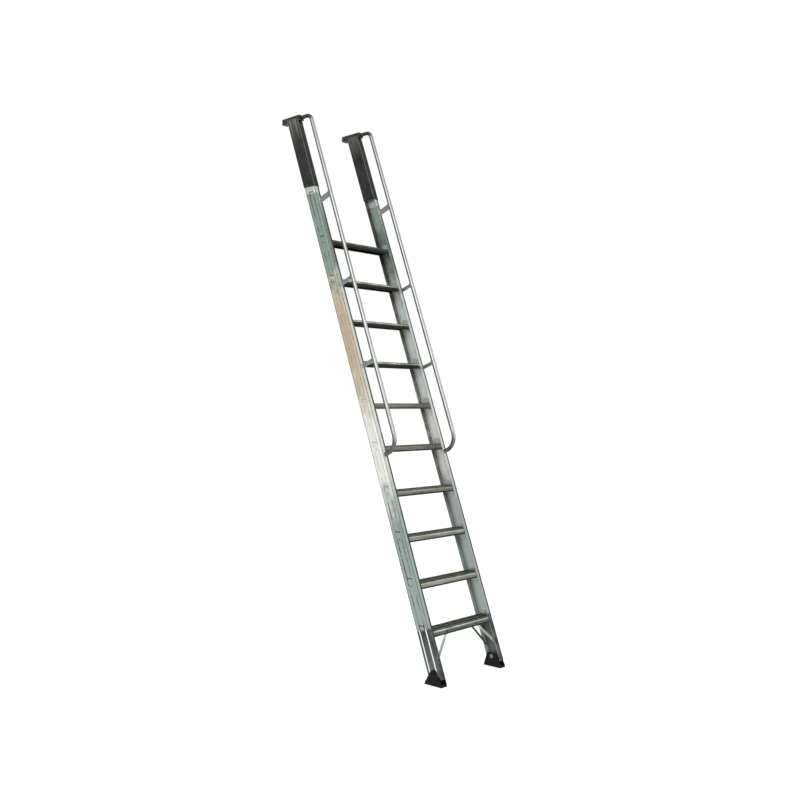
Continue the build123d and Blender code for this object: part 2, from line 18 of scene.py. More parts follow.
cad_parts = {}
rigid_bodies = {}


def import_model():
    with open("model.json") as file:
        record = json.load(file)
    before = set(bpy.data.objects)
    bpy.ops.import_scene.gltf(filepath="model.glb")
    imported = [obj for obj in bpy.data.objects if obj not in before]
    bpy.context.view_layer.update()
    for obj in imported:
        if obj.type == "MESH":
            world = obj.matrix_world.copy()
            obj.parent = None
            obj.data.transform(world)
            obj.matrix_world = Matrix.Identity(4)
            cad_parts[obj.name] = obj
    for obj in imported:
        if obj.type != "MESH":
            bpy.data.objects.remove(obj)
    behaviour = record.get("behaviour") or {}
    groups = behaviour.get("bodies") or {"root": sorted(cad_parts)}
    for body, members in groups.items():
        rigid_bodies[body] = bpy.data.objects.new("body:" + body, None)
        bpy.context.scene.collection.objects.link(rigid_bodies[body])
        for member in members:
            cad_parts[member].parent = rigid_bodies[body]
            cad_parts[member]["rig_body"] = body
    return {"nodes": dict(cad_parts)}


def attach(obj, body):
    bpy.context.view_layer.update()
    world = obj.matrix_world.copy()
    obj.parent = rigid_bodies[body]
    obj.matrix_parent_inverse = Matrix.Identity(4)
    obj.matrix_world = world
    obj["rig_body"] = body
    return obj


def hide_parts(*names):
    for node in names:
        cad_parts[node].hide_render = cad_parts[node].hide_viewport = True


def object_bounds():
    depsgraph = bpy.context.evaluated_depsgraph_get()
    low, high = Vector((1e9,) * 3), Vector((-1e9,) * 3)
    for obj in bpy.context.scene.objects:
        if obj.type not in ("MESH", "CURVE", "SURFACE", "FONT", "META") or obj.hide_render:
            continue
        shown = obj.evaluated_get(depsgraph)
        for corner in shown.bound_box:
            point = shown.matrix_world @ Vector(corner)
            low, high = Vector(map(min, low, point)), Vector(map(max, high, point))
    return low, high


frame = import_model()
cad_low, cad_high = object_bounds()
print("frame:", len(frame["nodes"]), "nodes, box", tuple(cad_low), tuple(cad_high))

# %% [markdown]
# ## Camera
# The photograph shows the ladder from its left front corner at about eye height. The distance, the
# heading and the lens were worked out from the edges of the stiles and treads in the picture, so
# the render lines up with it. The sensor is Blender's usual 36 mm, and the lens follows from the
# focal length in pixels of an 800 pixel image.

# %% Camera
image_size = 800
focal_pixels = 925.5
camera_place = Vector((-4.060, -3.938, 1.5235))
camera_heading = radians(43.40)  # from +X towards +Y
camera_tilt = radians(0.325)  # upwards

camera_data = bpy.data.cameras.new("photo_camera")
camera_data.sensor_width = 36
camera_data.lens = focal_pixels * camera_data.sensor_width / image_size
camera = bpy.data.objects.new("photo_camera", camera_data)
camera.location = camera_place
camera.rotation_euler = (pi / 2 + camera_tilt, 0, camera_heading - pi / 2)
bpy.context.scene.collection.objects.link(camera)
bpy.context.scene.camera = camera
print("camera: lens", round(camera_data.lens, 2), "mm")

# %% [markdown]
# ## One way to add a node
# Every finish below is a small node tree. One function adds a node, sets its values and links what
# feeds it, so that each finish reads as a list of steps. Its sockets are filled in order from a list,
# or by name or number from a dictionary. Colours are written as sRGB hex values, as a colour picker
# shows them, and turned to the linear values that shaders work in.


# %% Helpers for node trees
def linear(hex_colour):
    """Linear colour of an sRGB hex value."""
    channels = [int(hex_colour[start:start + 2], 16) / 255 for start in (1, 3, 5)]
    return [c / 12.92 if c <= 0.04045 else ((c + 0.055) / 1.055) ** 2.4 for c in channels] + [1]


def wire(tree, node, sockets):
    """Give sockets of a node a link, a colour or a value."""
    rows = sockets.items() if isinstance(sockets, dict) else enumerate(sockets)
    for socket, value in rows:
        if isinstance(value, bpy.types.NodeSocket):
            tree.links.new(value, node.inputs[socket])
        elif isinstance(value, str):
            node.inputs[socket].default_value = linear(value)
        else:
            node.inputs[socket].default_value = value


def add_node(tree, kind, sockets=(), out=0, **settings):
    """Add a node with its settings, values and links, and return one of its outputs."""
    node = tree.nodes.new("ShaderNode" + kind)
    for name, value in settings.items():
        setattr(node, name, value)
    wire(tree, node, sockets)
    return node.outputs[out]


def new_material(name):
    """A material with a node tree."""
    material = bpy.data.materials.new(name)
    material.use_nodes = True
    return material


# A Mix of colours has its factor in socket 0, its colours in 6 and 7 and its result in output 2
colour_mix = {"data_type": "RGBA", "out": 2}
print("middle grey reads as", [round(c, 3) for c in linear("#808080")])

# %% [markdown]
# ## Studio: background
# The photograph has a plain white ground. The world is white to the camera and to reflections, and
# dimmer as a source of light. The floor adds a glow of its own to what the lamps give it, which
# keeps it white, and it still darkens where the ladder takes the light away.

# %% Background
world_fill = 0.55
floor_glow = 0.62
floor_half = 40.0
floor_drop = 0.0005


def seen_ray(tree):
    """1 for rays that show the background: camera, reflection and transmission."""
    rays = add_node(tree, "LightPath").node.outputs
    either = add_node(tree, "Math", [rays["Is Camera Ray"], rays["Is Glossy Ray"]], operation="MAXIMUM")
    return add_node(tree, "Math", [either, rays["Is Transmission Ray"]], operation="MAXIMUM")


def stage_piece(bm, name, paint):
    """A piece of the studio from a shape and a material."""
    mesh = bpy.data.meshes.new(name)
    bm.to_mesh(mesh)
    bm.free()
    mesh.materials.append(paint)
    piece = bpy.data.objects.new(name, mesh)
    bpy.context.scene.collection.objects.link(piece)
    return piece


world = bpy.data.worlds.new("white_studio")
world.use_nodes = True
bpy.context.scene.world = world
sky = world.node_tree
strength = add_node(sky, "MapRange", {"Value": seen_ray(sky), "To Min": world_fill})
wire(sky, sky.nodes["Background"], {"Color": "#FFFFFF", "Strength": strength})

floor_paint = new_material("studio_floor_paint")
floor_tree = floor_paint.node_tree
glow = add_node(floor_tree, "Math", [seen_ray(floor_tree), floor_glow], operation="MULTIPLY")
wire(floor_tree, floor_tree.nodes["Principled BSDF"], {
    "Base Color": "#E8E8E6", "Roughness": 0.9, "Emission Color": "#FFFFFF", "Emission Strength": glow})
floor_bm = bmesh.new()
bmesh.ops.create_grid(floor_bm, x_segments=1, y_segments=1, size=floor_half)
bmesh.ops.translate(floor_bm, verts=floor_bm.verts, vec=(0, 0, -floor_drop))
stage_piece(floor_bm, "studio_floor", floor_paint)
print("background: white world and a floor", 2 * floor_half, "m wide")

# %% [markdown]
# ## Studio: lamps
# Two large softboxes give a plain even light with soft shadows: a key on the left, which lights the
# outside of the near stile, and a weaker one in front. Area lamps are used because a large lamp
# shows as a broad, soft highlight on metal.

# %% Lamps
lamp_target = Vector((0, 0, 1.5))
lamps = (
    # name, place, width in metres, watts
    ("key_softbox", (-4.5, -3.0, 5.5), 4.0, 120),
    ("front_softbox", (2.5, -5.5, 4.0), 5.0, 80),
)
for lamp_name, lamp_place, lamp_width, watts in lamps:
    lamp_data = bpy.data.lights.new(lamp_name, "AREA")
    lamp_data.size = lamp_width
    lamp_data.energy = watts
    lamp = bpy.data.objects.new(lamp_name, lamp_data)
    lamp.location = lamp_place
    aim = lamp_target - lamp.location
    lamp.rotation_euler = aim.to_track_quat("-Z", "Y").to_euler()
    bpy.context.scene.collection.objects.link(lamp)
bpy.context.scene.view_settings.view_transform = "Standard"
print("lamps:", len(lamps))

# %% [markdown]
# ## Cards and flags
# Bright metal has hardly any colour of its own: it shows the room. In an all-white room it fades
# away, so a photographer stands grey cards and dark flags round it, just outside the picture. The
# grey card gives the webs of the stiles their middle tone, and the dark flags draw a dark line
# down each side of the round rails. They are seen in reflections only and cast no shadow.

# %% Cards and flags
card_distance = 7.0
card_height = 7.0
card_steps = 8
cards = (
    # name, first and last angle to the left of the camera's line of sight, brightness
    ("dark_flag_left", 24, 78, 0.12),
    ("grey_card_left", 78, 150, 0.85),
    ("dark_flag_right", -68, -24, 0.12),
)
for card_name, first_angle, last_angle, brightness in cards:
    card_paint = new_material(card_name + "_paint")
    wire(card_paint.node_tree, card_paint.node_tree.nodes["Principled BSDF"], {
        "Base Color": "#000000", "Roughness": 0.9, "Specular IOR Level": 0.0,
        "Emission Color": "#FFFFFF", "Emission Strength": brightness})
    start = camera_heading + radians(first_angle)
    card_bm = bmesh.new()
    foot = card_bm.verts.new(card_distance * Vector((cos(start), sin(start), 0)))
    head = card_bm.verts.new(foot.co + Vector((0, 0, card_height)))
    bmesh.ops.spin(card_bm, geom=[card_bm.edges.new((foot, head))], axis=(0, 0, 1), cent=(0, 0, 0),
                   angle=radians(last_angle - first_angle), steps=card_steps)
    card = stage_piece(card_bm, card_name, card_paint)
    card.visible_camera = False
    card.visible_diffuse = False
    card.visible_shadow = False
print("cards and flags:", len(cards))

# %% [markdown]
# ## The ladder's own measures
# The stiles lean 20 degrees, and the sleeves and stand-offs lean with them. Such pieces are easiest
# to draw upright, with X across the ladder, Y behind the front face of the stile and Z along it,
# and to lean over once at the end. These are the sizes that the pieces share, in metres.

# %% Shared sizes
lean = radians(20)
up_stile = Vector((0, sin(lean), cos(lean)))
rearward = Vector((0, cos(lean), -sin(lean)))
tread_count = 10
tread_numbers = range(1, tread_count + 1)
rise = 0.250
first_tread_height = 0.285
top_height = cad_high.z

web_outer = 0.276  # from the middle of the ladder to the outside of a stile
stile_depth = 0.090
stile_flange = 0.032
stile_wall = 0.003
rib_width = 0.008
rib_height = 0.0012
rib_offset = 0.024
web_inner = web_outer - stile_wall
flange_tip = web_outer - stile_flange
flange_middle = web_outer - stile_flange / 2
cap_plate = 0.019
plate_height = top_height - cap_plate
pivot_height = 0.062
pad_length = 0.122

# The pads reach furthest forward, which gives the place of the stiles' front face on the floor
foot_line = cad_low.y + pad_length / 2 - pivot_height * tan(lean) - stile_depth / 2 / cos(lean)
lean_over = Matrix.Translation((0, foot_line, 0)) @ Matrix.Rotation(-lean, 4, "X")


def level_y(behind, height):
    """Y of a point at a height, a distance square behind the stiles' front face."""
    return foot_line + height * tan(lean) + behind / cos(lean)


def middle_y(height):
    """Y of the stiles' middle line at a height."""
    return level_y(stile_depth / 2, height)


def along(behind, height):
    """Distance up the stile, from floor level, of the same point."""
    return (height + behind * sin(lean)) / cos(lean)


def tread_top(number):
    """Height of a tread, counted from the floor."""
    return first_tread_height + rise * (number - 1)


print("stiles meet the floor at y =", round(foot_line, 4))

# %% [markdown]
# ## Helpers for shapes
# An extrusion is a section pushed through a die. Here that is a flat face pulled along a line. The
# edges that it leaves are then rounded, because no real edge is perfectly sharp and it is the thin
# line of light on an edge that makes metal look solid. The rounded faces are also marked, so that
# a finish can show wear on them.

# %% Helpers for shapes
sharp_angle = radians(40)
same_point = 1e-6  # metres within which two points are one


def new_shape():
    """An empty mesh whose faces can be marked as worn edges."""
    bm = bmesh.new()
    bm.faces.layers.float.new("worn_edge")
    return bm


def flat_face(bm, corners):
    """One face through a few corners."""
    return bm.faces.new([bm.verts.new(corner) for corner in corners])


def pull(bm, faces, travel):
    """Extrude faces along a line and return the faces at its end."""
    made = bmesh.ops.extrude_face_region(bm, geom=faces)["geom"]
    bmesh.ops.translate(bm, verts=[g for g in made if isinstance(g, bmesh.types.BMVert)], vec=travel)
    return [g for g in made if isinstance(g, bmesh.types.BMFace)]


def extruded(corners, travel):
    """A new shape: one face through a few corners, pulled along a line."""
    bm = new_shape()
    pull(bm, [flat_face(bm, corners)], travel)
    return bm


def outer_edges(bm, longer_than=0):
    """The sharp edges that stick out."""
    bmesh.ops.recalc_face_normals(bm, faces=bm.faces)
    sharp = [e for e in bm.edges if e.is_manifold and e.is_convex and e.calc_face_angle() > sharp_angle]
    return [e for e in sharp if e.calc_length() > longer_than]


def round_edges(bm, edges, radius, segments=2):
    """Round edges and mark the new faces as worn."""
    worn = bm.faces.layers.float["worn_edge"]
    made = bmesh.ops.bevel(bm, geom=list(edges), offset=radius, offset_type="OFFSET", affect="EDGES",
                           segments=segments, profile=0.5, material=-1, clamp_overlap=True)
    for face in made["faces"]:
        face[worn] = 1.0


print("edges sharper than", round(degrees(sharp_angle)), "degrees are rounded")

# %% [markdown]
# ## Helpers for pieces
# A finished piece stands for one solid of the frame and rides on the same body. Most solids come
# in a left and a right one that are mirror images, so a shape is drawn for the right and its
# mirror image is made for the left. Weighted normals keep large faces flat beside rounded edges.

# %% Helpers for pieces
finishes = {}
soft_angle = radians(50)


def add_piece(bm, node, finish):
    """Make a piece of a shape, in place of a solid of the frame."""
    bmesh.ops.recalc_face_normals(bm, faces=bm.faces)
    mesh = bpy.data.meshes.new("dressed_" + node)
    bm.to_mesh(mesh)
    mesh.shade_smooth()
    mesh.set_sharp_from_angle(angle=soft_angle)
    mesh.materials.append(finishes[finish])
    piece = bpy.data.objects.new("dressed_" + node, mesh)
    bpy.context.scene.collection.objects.link(piece)
    weighted = piece.modifiers.new("flat_faces", "WEIGHTED_NORMAL")
    weighted.keep_sharp = True
    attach(piece, frame["nodes"][node]["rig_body"])
    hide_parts(node)
    return piece


def add_pair(bm, node, finish):
    """Make the right piece and its mirror image, then free the shape."""
    add_piece(bm, node + "_right", finish)
    bmesh.ops.scale(bm, verts=bm.verts, vec=(-1, 1, 1))
    left = add_piece(bm, node + "_left", finish)
    print(node, "pair:", len(left.data.polygons), "faces each")
    bm.free()


print("edges up to", round(degrees(soft_angle)), "degrees are drawn smooth")

# %% [markdown]
# ## Where a finish looks things up
# Every finish reads the place of a point on the piece, in metres. On the sides it helps to turn
# that place upright first, so that it reads across the ladder, behind the stiles' front face and up
# along the stile: then lines from the die run along Z, and dirt can gather at a known edge. Every
# finish ends in the same way, with its colour, its gloss and a fine relief on the shader.


# %% Start and end of every finish
def start_finish(name, upright=False):
    """A new material: the function that adds a node to it, and the place of a point."""
    finishes[name] = new_material(name)
    add = partial(add_node, finishes[name].node_tree)
    place = add("TexCoord", out="Object")
    if upright:
        place = add("Mapping", {
            "Vector": place, "Rotation": (lean, 0, 0),
            "Location": (0, -foot_line * cos(lean), -foot_line * sin(lean))})
    return add, place


def end_finish(name, sockets, relief, strength, depth):
    """Fill the shader's sockets and add a relief with a depth in metres."""
    tree = finishes[name].node_tree
    bump = add_node(tree, "Bump", {"Height": relief, "Strength": strength, "Distance": depth})
    wire(tree, tree.nodes["Principled BSDF"], {**sockets, "Normal": bump})
    print(name + ":", len(tree.nodes), "nodes")


# %% [markdown]
# ## Stile aluminium: where a point lies
# The stiles are extruded aluminium as the mill left it: bright grey, with lines along the length
# from the die and dull patches from handling. The finish has to know where a point lies on the
# section. A Map Range node turns a reading into a mask. Its list gives the reading, where the mask
# is 0 and where it is 1, and then its two end values where they aren't 0 and 1. One mask as the
# end value of another multiplies the two.

# %% Stile aluminium, readings
die_line = 0.003  # real ones are about 0.3 mm apart, drawn coarser so that they show
die_run = 0.8
patch_size = 0.09
skin = 0.0006  # what lies as near as this to a face counts as the face
half_depth = stile_depth / 2
third_wall = stile_wall / 3

add, place = start_finish("stile_aluminium", upright=True)
axes = add("SeparateXYZ", [place]).node.outputs
across = add("Math", [axes["X"]], operation="ABSOLUTE")
length = axes["Z"]
height = add("SeparateXYZ", [add("TexCoord", out="Object")], out="Z")
to_edge = add("Math", [axes["Y"], half_depth], operation="SUBTRACT")
to_edge = add("Math", [to_edge], operation="ABSOLUTE")

outside = add("MapRange", [across, web_inner + third_wall, web_outer - third_wall / 2])
by_web = add("MapRange", [across, web_inner - stile_wall, web_inner - third_wall])
rib_top = add("MapRange", [across, web_outer + rib_height * 0.4, web_outer + rib_height * 0.8])
off_ribs = add("MapRange", [rib_top, 1, 0])
on_flange = add("MapRange", [to_edge, half_depth - 2 * skin, half_depth - skin])
off_flange = add("MapRange", [on_flange, 1, 0])
flange_side = add("MapRange", [by_web, 1, 0, 0, off_flange])

drawn_out = add("Mapping", {"Vector": place, "Scale": (1 / die_line, 1 / die_line, 1 / die_run)})
die_lines = add("TexNoise", {"Vector": drawn_out, "Scale": 1.0, "Detail": 3.0})
patches = add("TexNoise", {"Vector": place, "Scale": 1 / patch_size, "Detail": 4.0, "Roughness": 0.6})
print("stile readings:", len(finishes["stile_aluminium"].node_tree.nodes), "nodes")

# %% [markdown]
# ## Stile aluminium: zones
# The tone drifts along a stile in bands of painted reflection: grey near the floor, bright at the
# height of goods, a little warm above that, and grey again at the top. Inside the channel the bands
# differ, with a darker one near the top. They are few and wide, so a colour ramp can hold them as
# stops, each with a height and a tone. The outside of the web has one ramp and the rest of the stile
# another.

# %% Stile aluminium, zones
low_reflection_grey = "#A3ADA9"
bright_reflection = "#F6F7F3"
pale_reflection = "#DFD6C4"
warm_reflection = "#DBC9B2"
top_reflection_grey = "#AAB9B1"
inner_reflection_grey = "#C4CCC9"
inner_bright_reflection = "#E4E9E5"
inner_dark_reflection = "#8C938C"
# Both ramps hold painted reflections along the stile, and the inner one has a darker band near the top
web_reflection_stops = (
    # height in metres, tone of the outer web there
    (0.85, low_reflection_grey),
    (1.12, bright_reflection),
    (1.46, bright_reflection),
    (1.62, pale_reflection),
    (2.00, warm_reflection),
    (2.22, pale_reflection),
    (2.30, top_reflection_grey),
)
inner_reflection_stops = (
    # height in metres, tone inside the channel and on the flanges there
    (0.95, inner_reflection_grey),
    (1.20, bright_reflection),
    (1.50, bright_reflection),
    (1.70, inner_bright_reflection),
    (2.20, inner_bright_reflection),
    (2.45, inner_dark_reflection),
    (2.66, inner_dark_reflection),
    (2.74, top_reflection_grey),
)


def set_stops(ramp, tones):
    """Give a ramp one stop for each height and colour."""
    stops = ramp.node.color_ramp.elements
    for stop_height, colour in tones:
        stops.new(stop_height / top_height).color = linear(colour)
    stops.remove(stops[0])
    stops.remove(stops[len(stops) - 1])


print("stile zones:", len(web_reflection_stops), "stops outside and", len(inner_reflection_stops), "inside")

# %% [markdown]
# ## Stile aluminium: tones
# The ramps are read along the stile. The patches are added to that reading, so that no zone ends in
# a straight line. Two tones lie over the zones: just below the sleeve the metal is still clean, and
# the flanges are greyer than the web.

# %% Stile aluminium, tones
border_wander = 0.5  # metres along the stile over which the patches can move a border
sleeve_cover = 0.470
clean_band = 0.047
clean_fade = 0.006
grey_low = 1.0  # the flanges are greyest up to the first of these lengths
grey_high = 1.9
stile_length = along(0, top_height)
sleeve_end_height = top_height - sleeve_cover
clean_height = sleeve_end_height - clean_band

uneven = add("Math", [patches, border_wander, length], operation="MULTIPLY_ADD")
share = add("MapRange", [uneven, border_wander / 2, stile_length + border_wander / 2])
web_reflection = add("ValToRGB", [share])
set_stops(web_reflection, web_reflection_stops)
inner_reflection = add("ValToRGB", [share])
set_stops(inner_reflection, inner_reflection_stops)
tone = add("Mix", {0: outside, 6: inner_reflection, 7: web_reflection}, **colour_mix)

clean = add("MapRange", [height, clean_height, clean_height + clean_fade, 0, 0.6])
greyed = add("MapRange", [length, grey_low, grey_high, 0.30, 0.10])
greyed = add("Math", [greyed, on_flange], operation="MULTIPLY")
for mask, colour in ((clean, "#F8F9F6"), (greyed, "#5A605D")):
    tone = add("Mix", {0: mask, 6: tone, 7: colour}, **colour_mix)
print("stile tones: clean metal from", round(clean_height, 3), "m up")

# %% [markdown]
# ## Stile aluminium: darker marks
# The stile is darker low down between the ribs and on the flanges. It has painted shade along the
# corners of the channel, in dashes beside the ribs, and along one border of each flange. Each of these
# is a mask, and where several meet the strongest counts. Noise breaks them up, so that none lies
# evenly.

# %% Stile aluminium, darker marks
low_dark_length = 0.315
low_dark_fade = 0.012
corner_shade_reach = 0.0060  # distances from the channel's edge where the painted shade starts and is full
corner_full = 0.0035
border_shade_reach = 0.014  # the same from the flange's border
border_full = 0.010
rib_shade_reach = 0.0050
rib_fade = 0.0015
dash_run = 0.045
dash_breadth = 0.5
hand_low = 1.00  # hands and goods rub the web between these heights
hand_high = 2.20
hand_fade = 0.12

patch_break = add("MapRange", [patches, 0.30, 0.60, 0.55, 0.95])
border_break = add("MapRange", [patches, 0.30, 0.50, 0.70, 0.96])

# Low down, on the web but not on its ribs, and on the flanges
low = add("MapRange", [length, low_dark_length + low_dark_fade, low_dark_length])
low_dark = add("MapRange", [length, 0, low_dark_length, 0.54, 0.873])
low_dark = add("MapRange", [across, web_inner - third_wall, web_inner, 0, low_dark])
low_dark = add("Math", [low_dark, off_ribs], operation="MULTIPLY")
low_flange = add("Math", [on_flange, patch_break], operation="MULTIPLY")
low_dark = add("Math", [low_dark, low_flange], operation="MAXIMUM")
low_dark = add("Math", [low_dark, low], operation="MULTIPLY")

# Painted shade along the corners of the channel, and in dashes beside the ribs, weaker where hands reach
corner = add("MapRange", [to_edge, half_depth - corner_shade_reach, half_depth - corner_full, 0, by_web])
corner = add("Math", [corner, off_flange], operation="MULTIPLY")
from_rib = add("Math", [to_edge, rib_offset - rib_width / 2], operation="SUBTRACT")
from_rib = add("Math", [from_rib], operation="ABSOLUTE")
rib_shade_line = add("MapRange", [from_rib, rib_shade_reach + rib_fade, rib_shade_reach, 0, off_ribs])
dash_scale = (1 / dash_breadth, 1 / dash_breadth, 1 / dash_run)
dash_place = add("Mapping", {"Vector": place, "Scale": dash_scale})
dashes = add("TexNoise", {"Vector": dash_place, "Scale": 1.0, "Detail": 2.0})
dashes = add("MapRange", [dashes, 0.46, 0.54, 0.3])
below_hands = add("MapRange", [height, hand_low + hand_fade, hand_low, 0.4])
above_hands = add("MapRange", [height, hand_high, hand_high + hand_fade, 0.4])
outside_hand_heights = add("Math", [below_hands, above_hands], operation="MAXIMUM")
for mask in (dashes, outside, outside_hand_heights):
    rib_shade_line = add("Math", [rib_shade_line, mask], operation="MULTIPLY")
shade_lines = add("Math", [corner, rib_shade_line], operation="MAXIMUM")
shade_lines = add("Math", [shade_lines, patch_break], operation="MULTIPLY")

# Painted shade along the border of each flange that lies towards +X: the remainder puts both stiles at 0
from_border = add("Math", [axes["X"], web_outer], operation="ADD")
from_border = add("Math", [from_border, web_outer + flange_tip], operation="MODULO")
border_start = stile_flange - border_shade_reach
border_shade = add("MapRange", [from_border, border_start, stile_flange - border_full, 0, border_break])
border_shade = add("Math", [border_shade, on_flange], operation="MULTIPLY")
# The darker band low down, with the painted shade lines and the painted shade on the border
darkening = low_dark
for mask in (shade_lines, border_shade):
    darkening = add("Math", [darkening, mask], operation="MAXIMUM")
print("stile dirt reaches", low_dark_length, "m up the stile, and the hands from", hand_low, "m")

# %% [markdown]
# ## Stile aluminium: surface
# The last coats are the lines from the die, scuffs from being slid along racks, a painted highlight
# on the rib tops and the flange sides low down, and the darker marks with their painted shade. They
# are mixed over each other in that order. All but the outside of the web has gone dull with a whitish
# bloom of oxide, so it is drawn as less of a metal, and painted shade lies on the sides of the
# flanges, most of it from about 1.2 m along the stile upwards.

# %% Stile aluminium, surface
scuff_width = 0.0022
scuff_length = 0.035
side_shade_low = 0.9
side_shade_high = 1.2

scuff_scale = (1 / scuff_length, 1 / scuff_length, 1 / scuff_width)
scuff_place = add("Mapping", {"Vector": place, "Scale": scuff_scale})
scuffs = add("TexNoise", {"Vector": scuff_place, "Scale": 1.0, "Detail": 1.0})
scuffs = add("MapRange", [scuffs, 0.68, 0.76, 0, 0.6])
# Low down, a painted highlight on the rib tops and on the sides of the flanges
low_highlight = add("Math", [rib_top, flange_side], operation="MAXIMUM")
low_highlight = add("Math", [low_highlight, low], operation="MULTIPLY")
rubbed = add("Math", [scuffs, low_highlight], operation="MAXIMUM")
# Painted shade on the sides of the flanges, stronger further up the stile
flange_side_shade = add("MapRange", [length, side_shade_low, side_shade_high, 0.2, 0.9])
for mask in (flange_side, patch_break):
    flange_side_shade = add("Math", [flange_side_shade, mask], operation="MULTIPLY")

tone = add("Mix", {0: die_lines, 6: tone, 7: "#8F9692"}, blend_type="SOFT_LIGHT", **colour_mix)
# rubbed holds the scuffs and the low painted highlight; the two dark mixes are the darker marks and
# painted shade
for mask, colour in ((rubbed, "#F2F2EE"), (darkening, "#1C1E1C"), (flange_side_shade, "#2F3432")):
    tone = add("Mix", {0: mask, 6: tone, 7: colour}, **colour_mix)
metal = add("MapRange", [outside, 0, 1, 0.25, 1])
gloss = add("MapRange", [patches, 0.3, 0.7, 0.27, 0.42])
end_finish("stile_aluminium", {
    "Base Color": tone, "Metallic": metal, "Roughness": gloss, "Specular IOR Level": 0.2},
    die_lines, 0.25, 0.0004)

# %% [markdown]
# ## Tread aluminium: zones
# The treads are the same metal but dull and grey: boots and weather have taken the shine off. A
# band along the nose is rubbed brighter. The upper treads carry painted shade, and on the highest
# ones the band along the nose is a painted highlight. All ten share one finish, so ramps over the
# height hold their tones.

# %% Tread aluminium, zones
tread_pale = "#92948A"
tread_dull = "#7C7D74"
tread_painted_shade = "#36372F"
tread_mossy = "#6A7268"
nose_grey = "#7A7E72"
nose_painted_highlight = "#E4E3D4"
nose_rubbed = "#B4B6AA"
nose_mossy = "#C4D2C8"
# The lips of the upper treads carry painted shade, and their noses a painted highlight
face_tones = (
    # height in metres, tone of the lips there
    (0.28, tread_mossy),
    (0.50, tread_pale),
    (0.80, tread_pale),
    (1.05, tread_dull),
    (1.55, tread_dull),
    (1.72, tread_painted_shade),
)
nose_tones = (
    # height in metres, tone of the band along the nose there: rubbed low down, a painted highlight high
    # up
    (0.28, nose_mossy),
    (0.50, nose_rubbed),
    (0.95, nose_rubbed),
    (1.10, nose_grey),
    (1.55, nose_grey),
    (1.72, nose_painted_highlight),
    (2.28, nose_painted_highlight),
    (2.52, tread_dull),
)
print("tread zones:", len(face_tones), "stops on the lips and", len(nose_tones), "on the noses")

# %% [markdown]
# ## Tread aluminium: tones
# Streaks run along the extrusion. The finish has to tell the nose from the lip on every tread, so it
# reads the remainder of the height over one rise, which starts again at each tread.

# %% Tread aluminium, tones
streak_width = 0.004  # real ones are about 0.5 mm, drawn coarser so that they show
streak_run = 0.20
rub_size = 0.06
tread_lip = 0.033
lip_band = 0.011
band_fade = 0.0005
below_room = 0.010  # the remainder starts again this far below the lip

add, place = start_finish("tread_aluminium")
height = add("SeparateXYZ", [place], out="Z")
raised = add("Math", [height, first_tread_height - tread_lip - below_room], operation="SUBTRACT")
# Height above the lower end of the lip, the same on every tread
on_tread = add("Math", [raised, rise], operation="MODULO")
on_tread = add("Math", [on_tread, below_room], operation="SUBTRACT")

streak_scale = (1 / streak_run, 1 / streak_width, 1 / streak_width)
drawn_out = add("Mapping", {"Vector": place, "Scale": streak_scale})
streaks = add("TexNoise", {"Vector": drawn_out, "Scale": 1.0, "Detail": 4.0, "Roughness": 0.6})
patches = add("TexNoise", {"Vector": place, "Scale": 1 / rub_size, "Detail": 4.0})
rubbed = add("MapRange", [patches, 0.30, 0.65, 0.25, 0.85])

share = add("MapRange", [height, 0, top_height])
face_tone = add("ValToRGB", [share])
set_stops(face_tone, face_tones)
nose_tone = add("ValToRGB", [share])
set_stops(nose_tone, nose_tones)
streak_share = add("MapRange", [streaks, 0.35, 0.65, 0, 0.65])
band_end = tread_lip - lip_band
nose = add("MapRange", [on_tread, band_end - band_fade, band_end + band_fade, 0, rubbed])
tone = face_tone
for mask, colour in ((streak_share, "#34372F"), (nose, nose_tone)):
    tone = add("Mix", {0: mask, 6: tone, 7: colour}, **colour_mix)
print("tread readings and tones:", len(finishes["tread_aluminium"].node_tree.nodes), "nodes")

# %% [markdown]
# ## Tread aluminium: dirt
# Dirt fills the ground between the grip ribs, covers the ribs more thinly and gathers along the
# lower edge of the lip. It isn't metal and has no gloss, so its mask also takes both away. The
# rounded edges are rubbed bright again.

# %% Tread aluminium, dirt
grip_height = 0.0012
crust_low = 0.0030  # the dirt laps over the nose, down to these depths below the ground
crust_full = 0.0020
rib_skin = 0.0002
edge_clear = 0.010  # heights above the lip's end where the dirt ends and is full
edge_full = 0.007
ground = tread_lip - grip_height

rib_side = add("MapRange", [on_tread, ground + rib_skin, tread_lip - rib_skin, 1.0, 0.7])
walked = add("MapRange", [on_tread, ground - crust_low, ground - crust_full, 0, rib_side])
lower_edge = add("MapRange", [on_tread, edge_clear, edge_full, 0, 0.85])
walked = add("Math", [walked, lower_edge], operation="MAXIMUM")
edge = add("Attribute", out="Fac", attribute_name="worn_edge")
edge = add("Math", [edge, rubbed], operation="MULTIPLY")
for mask, colour in ((walked, "#1F211D"), (edge, "#B3B8AC")):
    tone = add("Mix", {0: mask, 6: tone, 7: colour}, **colour_mix)
metal = add("MapRange", [walked, 1, 0])
gloss = add("MapRange", [streaks, 0.3, 0.7, 0.36, 0.55])
gloss = add("Math", [gloss, walked], operation="MAXIMUM")
end_finish("tread_aluminium", {
    "Base Color": tone, "Metallic": metal, "Roughness": gloss, "Specular IOR Level": 0.1},
    streaks, 0.3, 0.0004)

# %% [markdown]
# ## Bracket aluminium
# The brackets, stand-offs and braces are short cuts of extrusion, tumbled to take the burrs off.
# That leaves an even, slightly mottled satin with brighter edges. The arms of the stand-offs in front
# of the stiles and the braces near the floor are drawn a darker grey than the brackets.

# %% Bracket aluminium
mottle_size = 0.008  # the real mottle is about 1 mm, drawn coarser so that it shows
cloud_size = 0.07
ahead_start = -0.005  # the arms of the stand-offs lie further forward than this
ahead_full = -0.008
brace_start = first_tread_height - 0.03  # the braces lie lower along the stile than this
brace_full = first_tread_height - 0.04

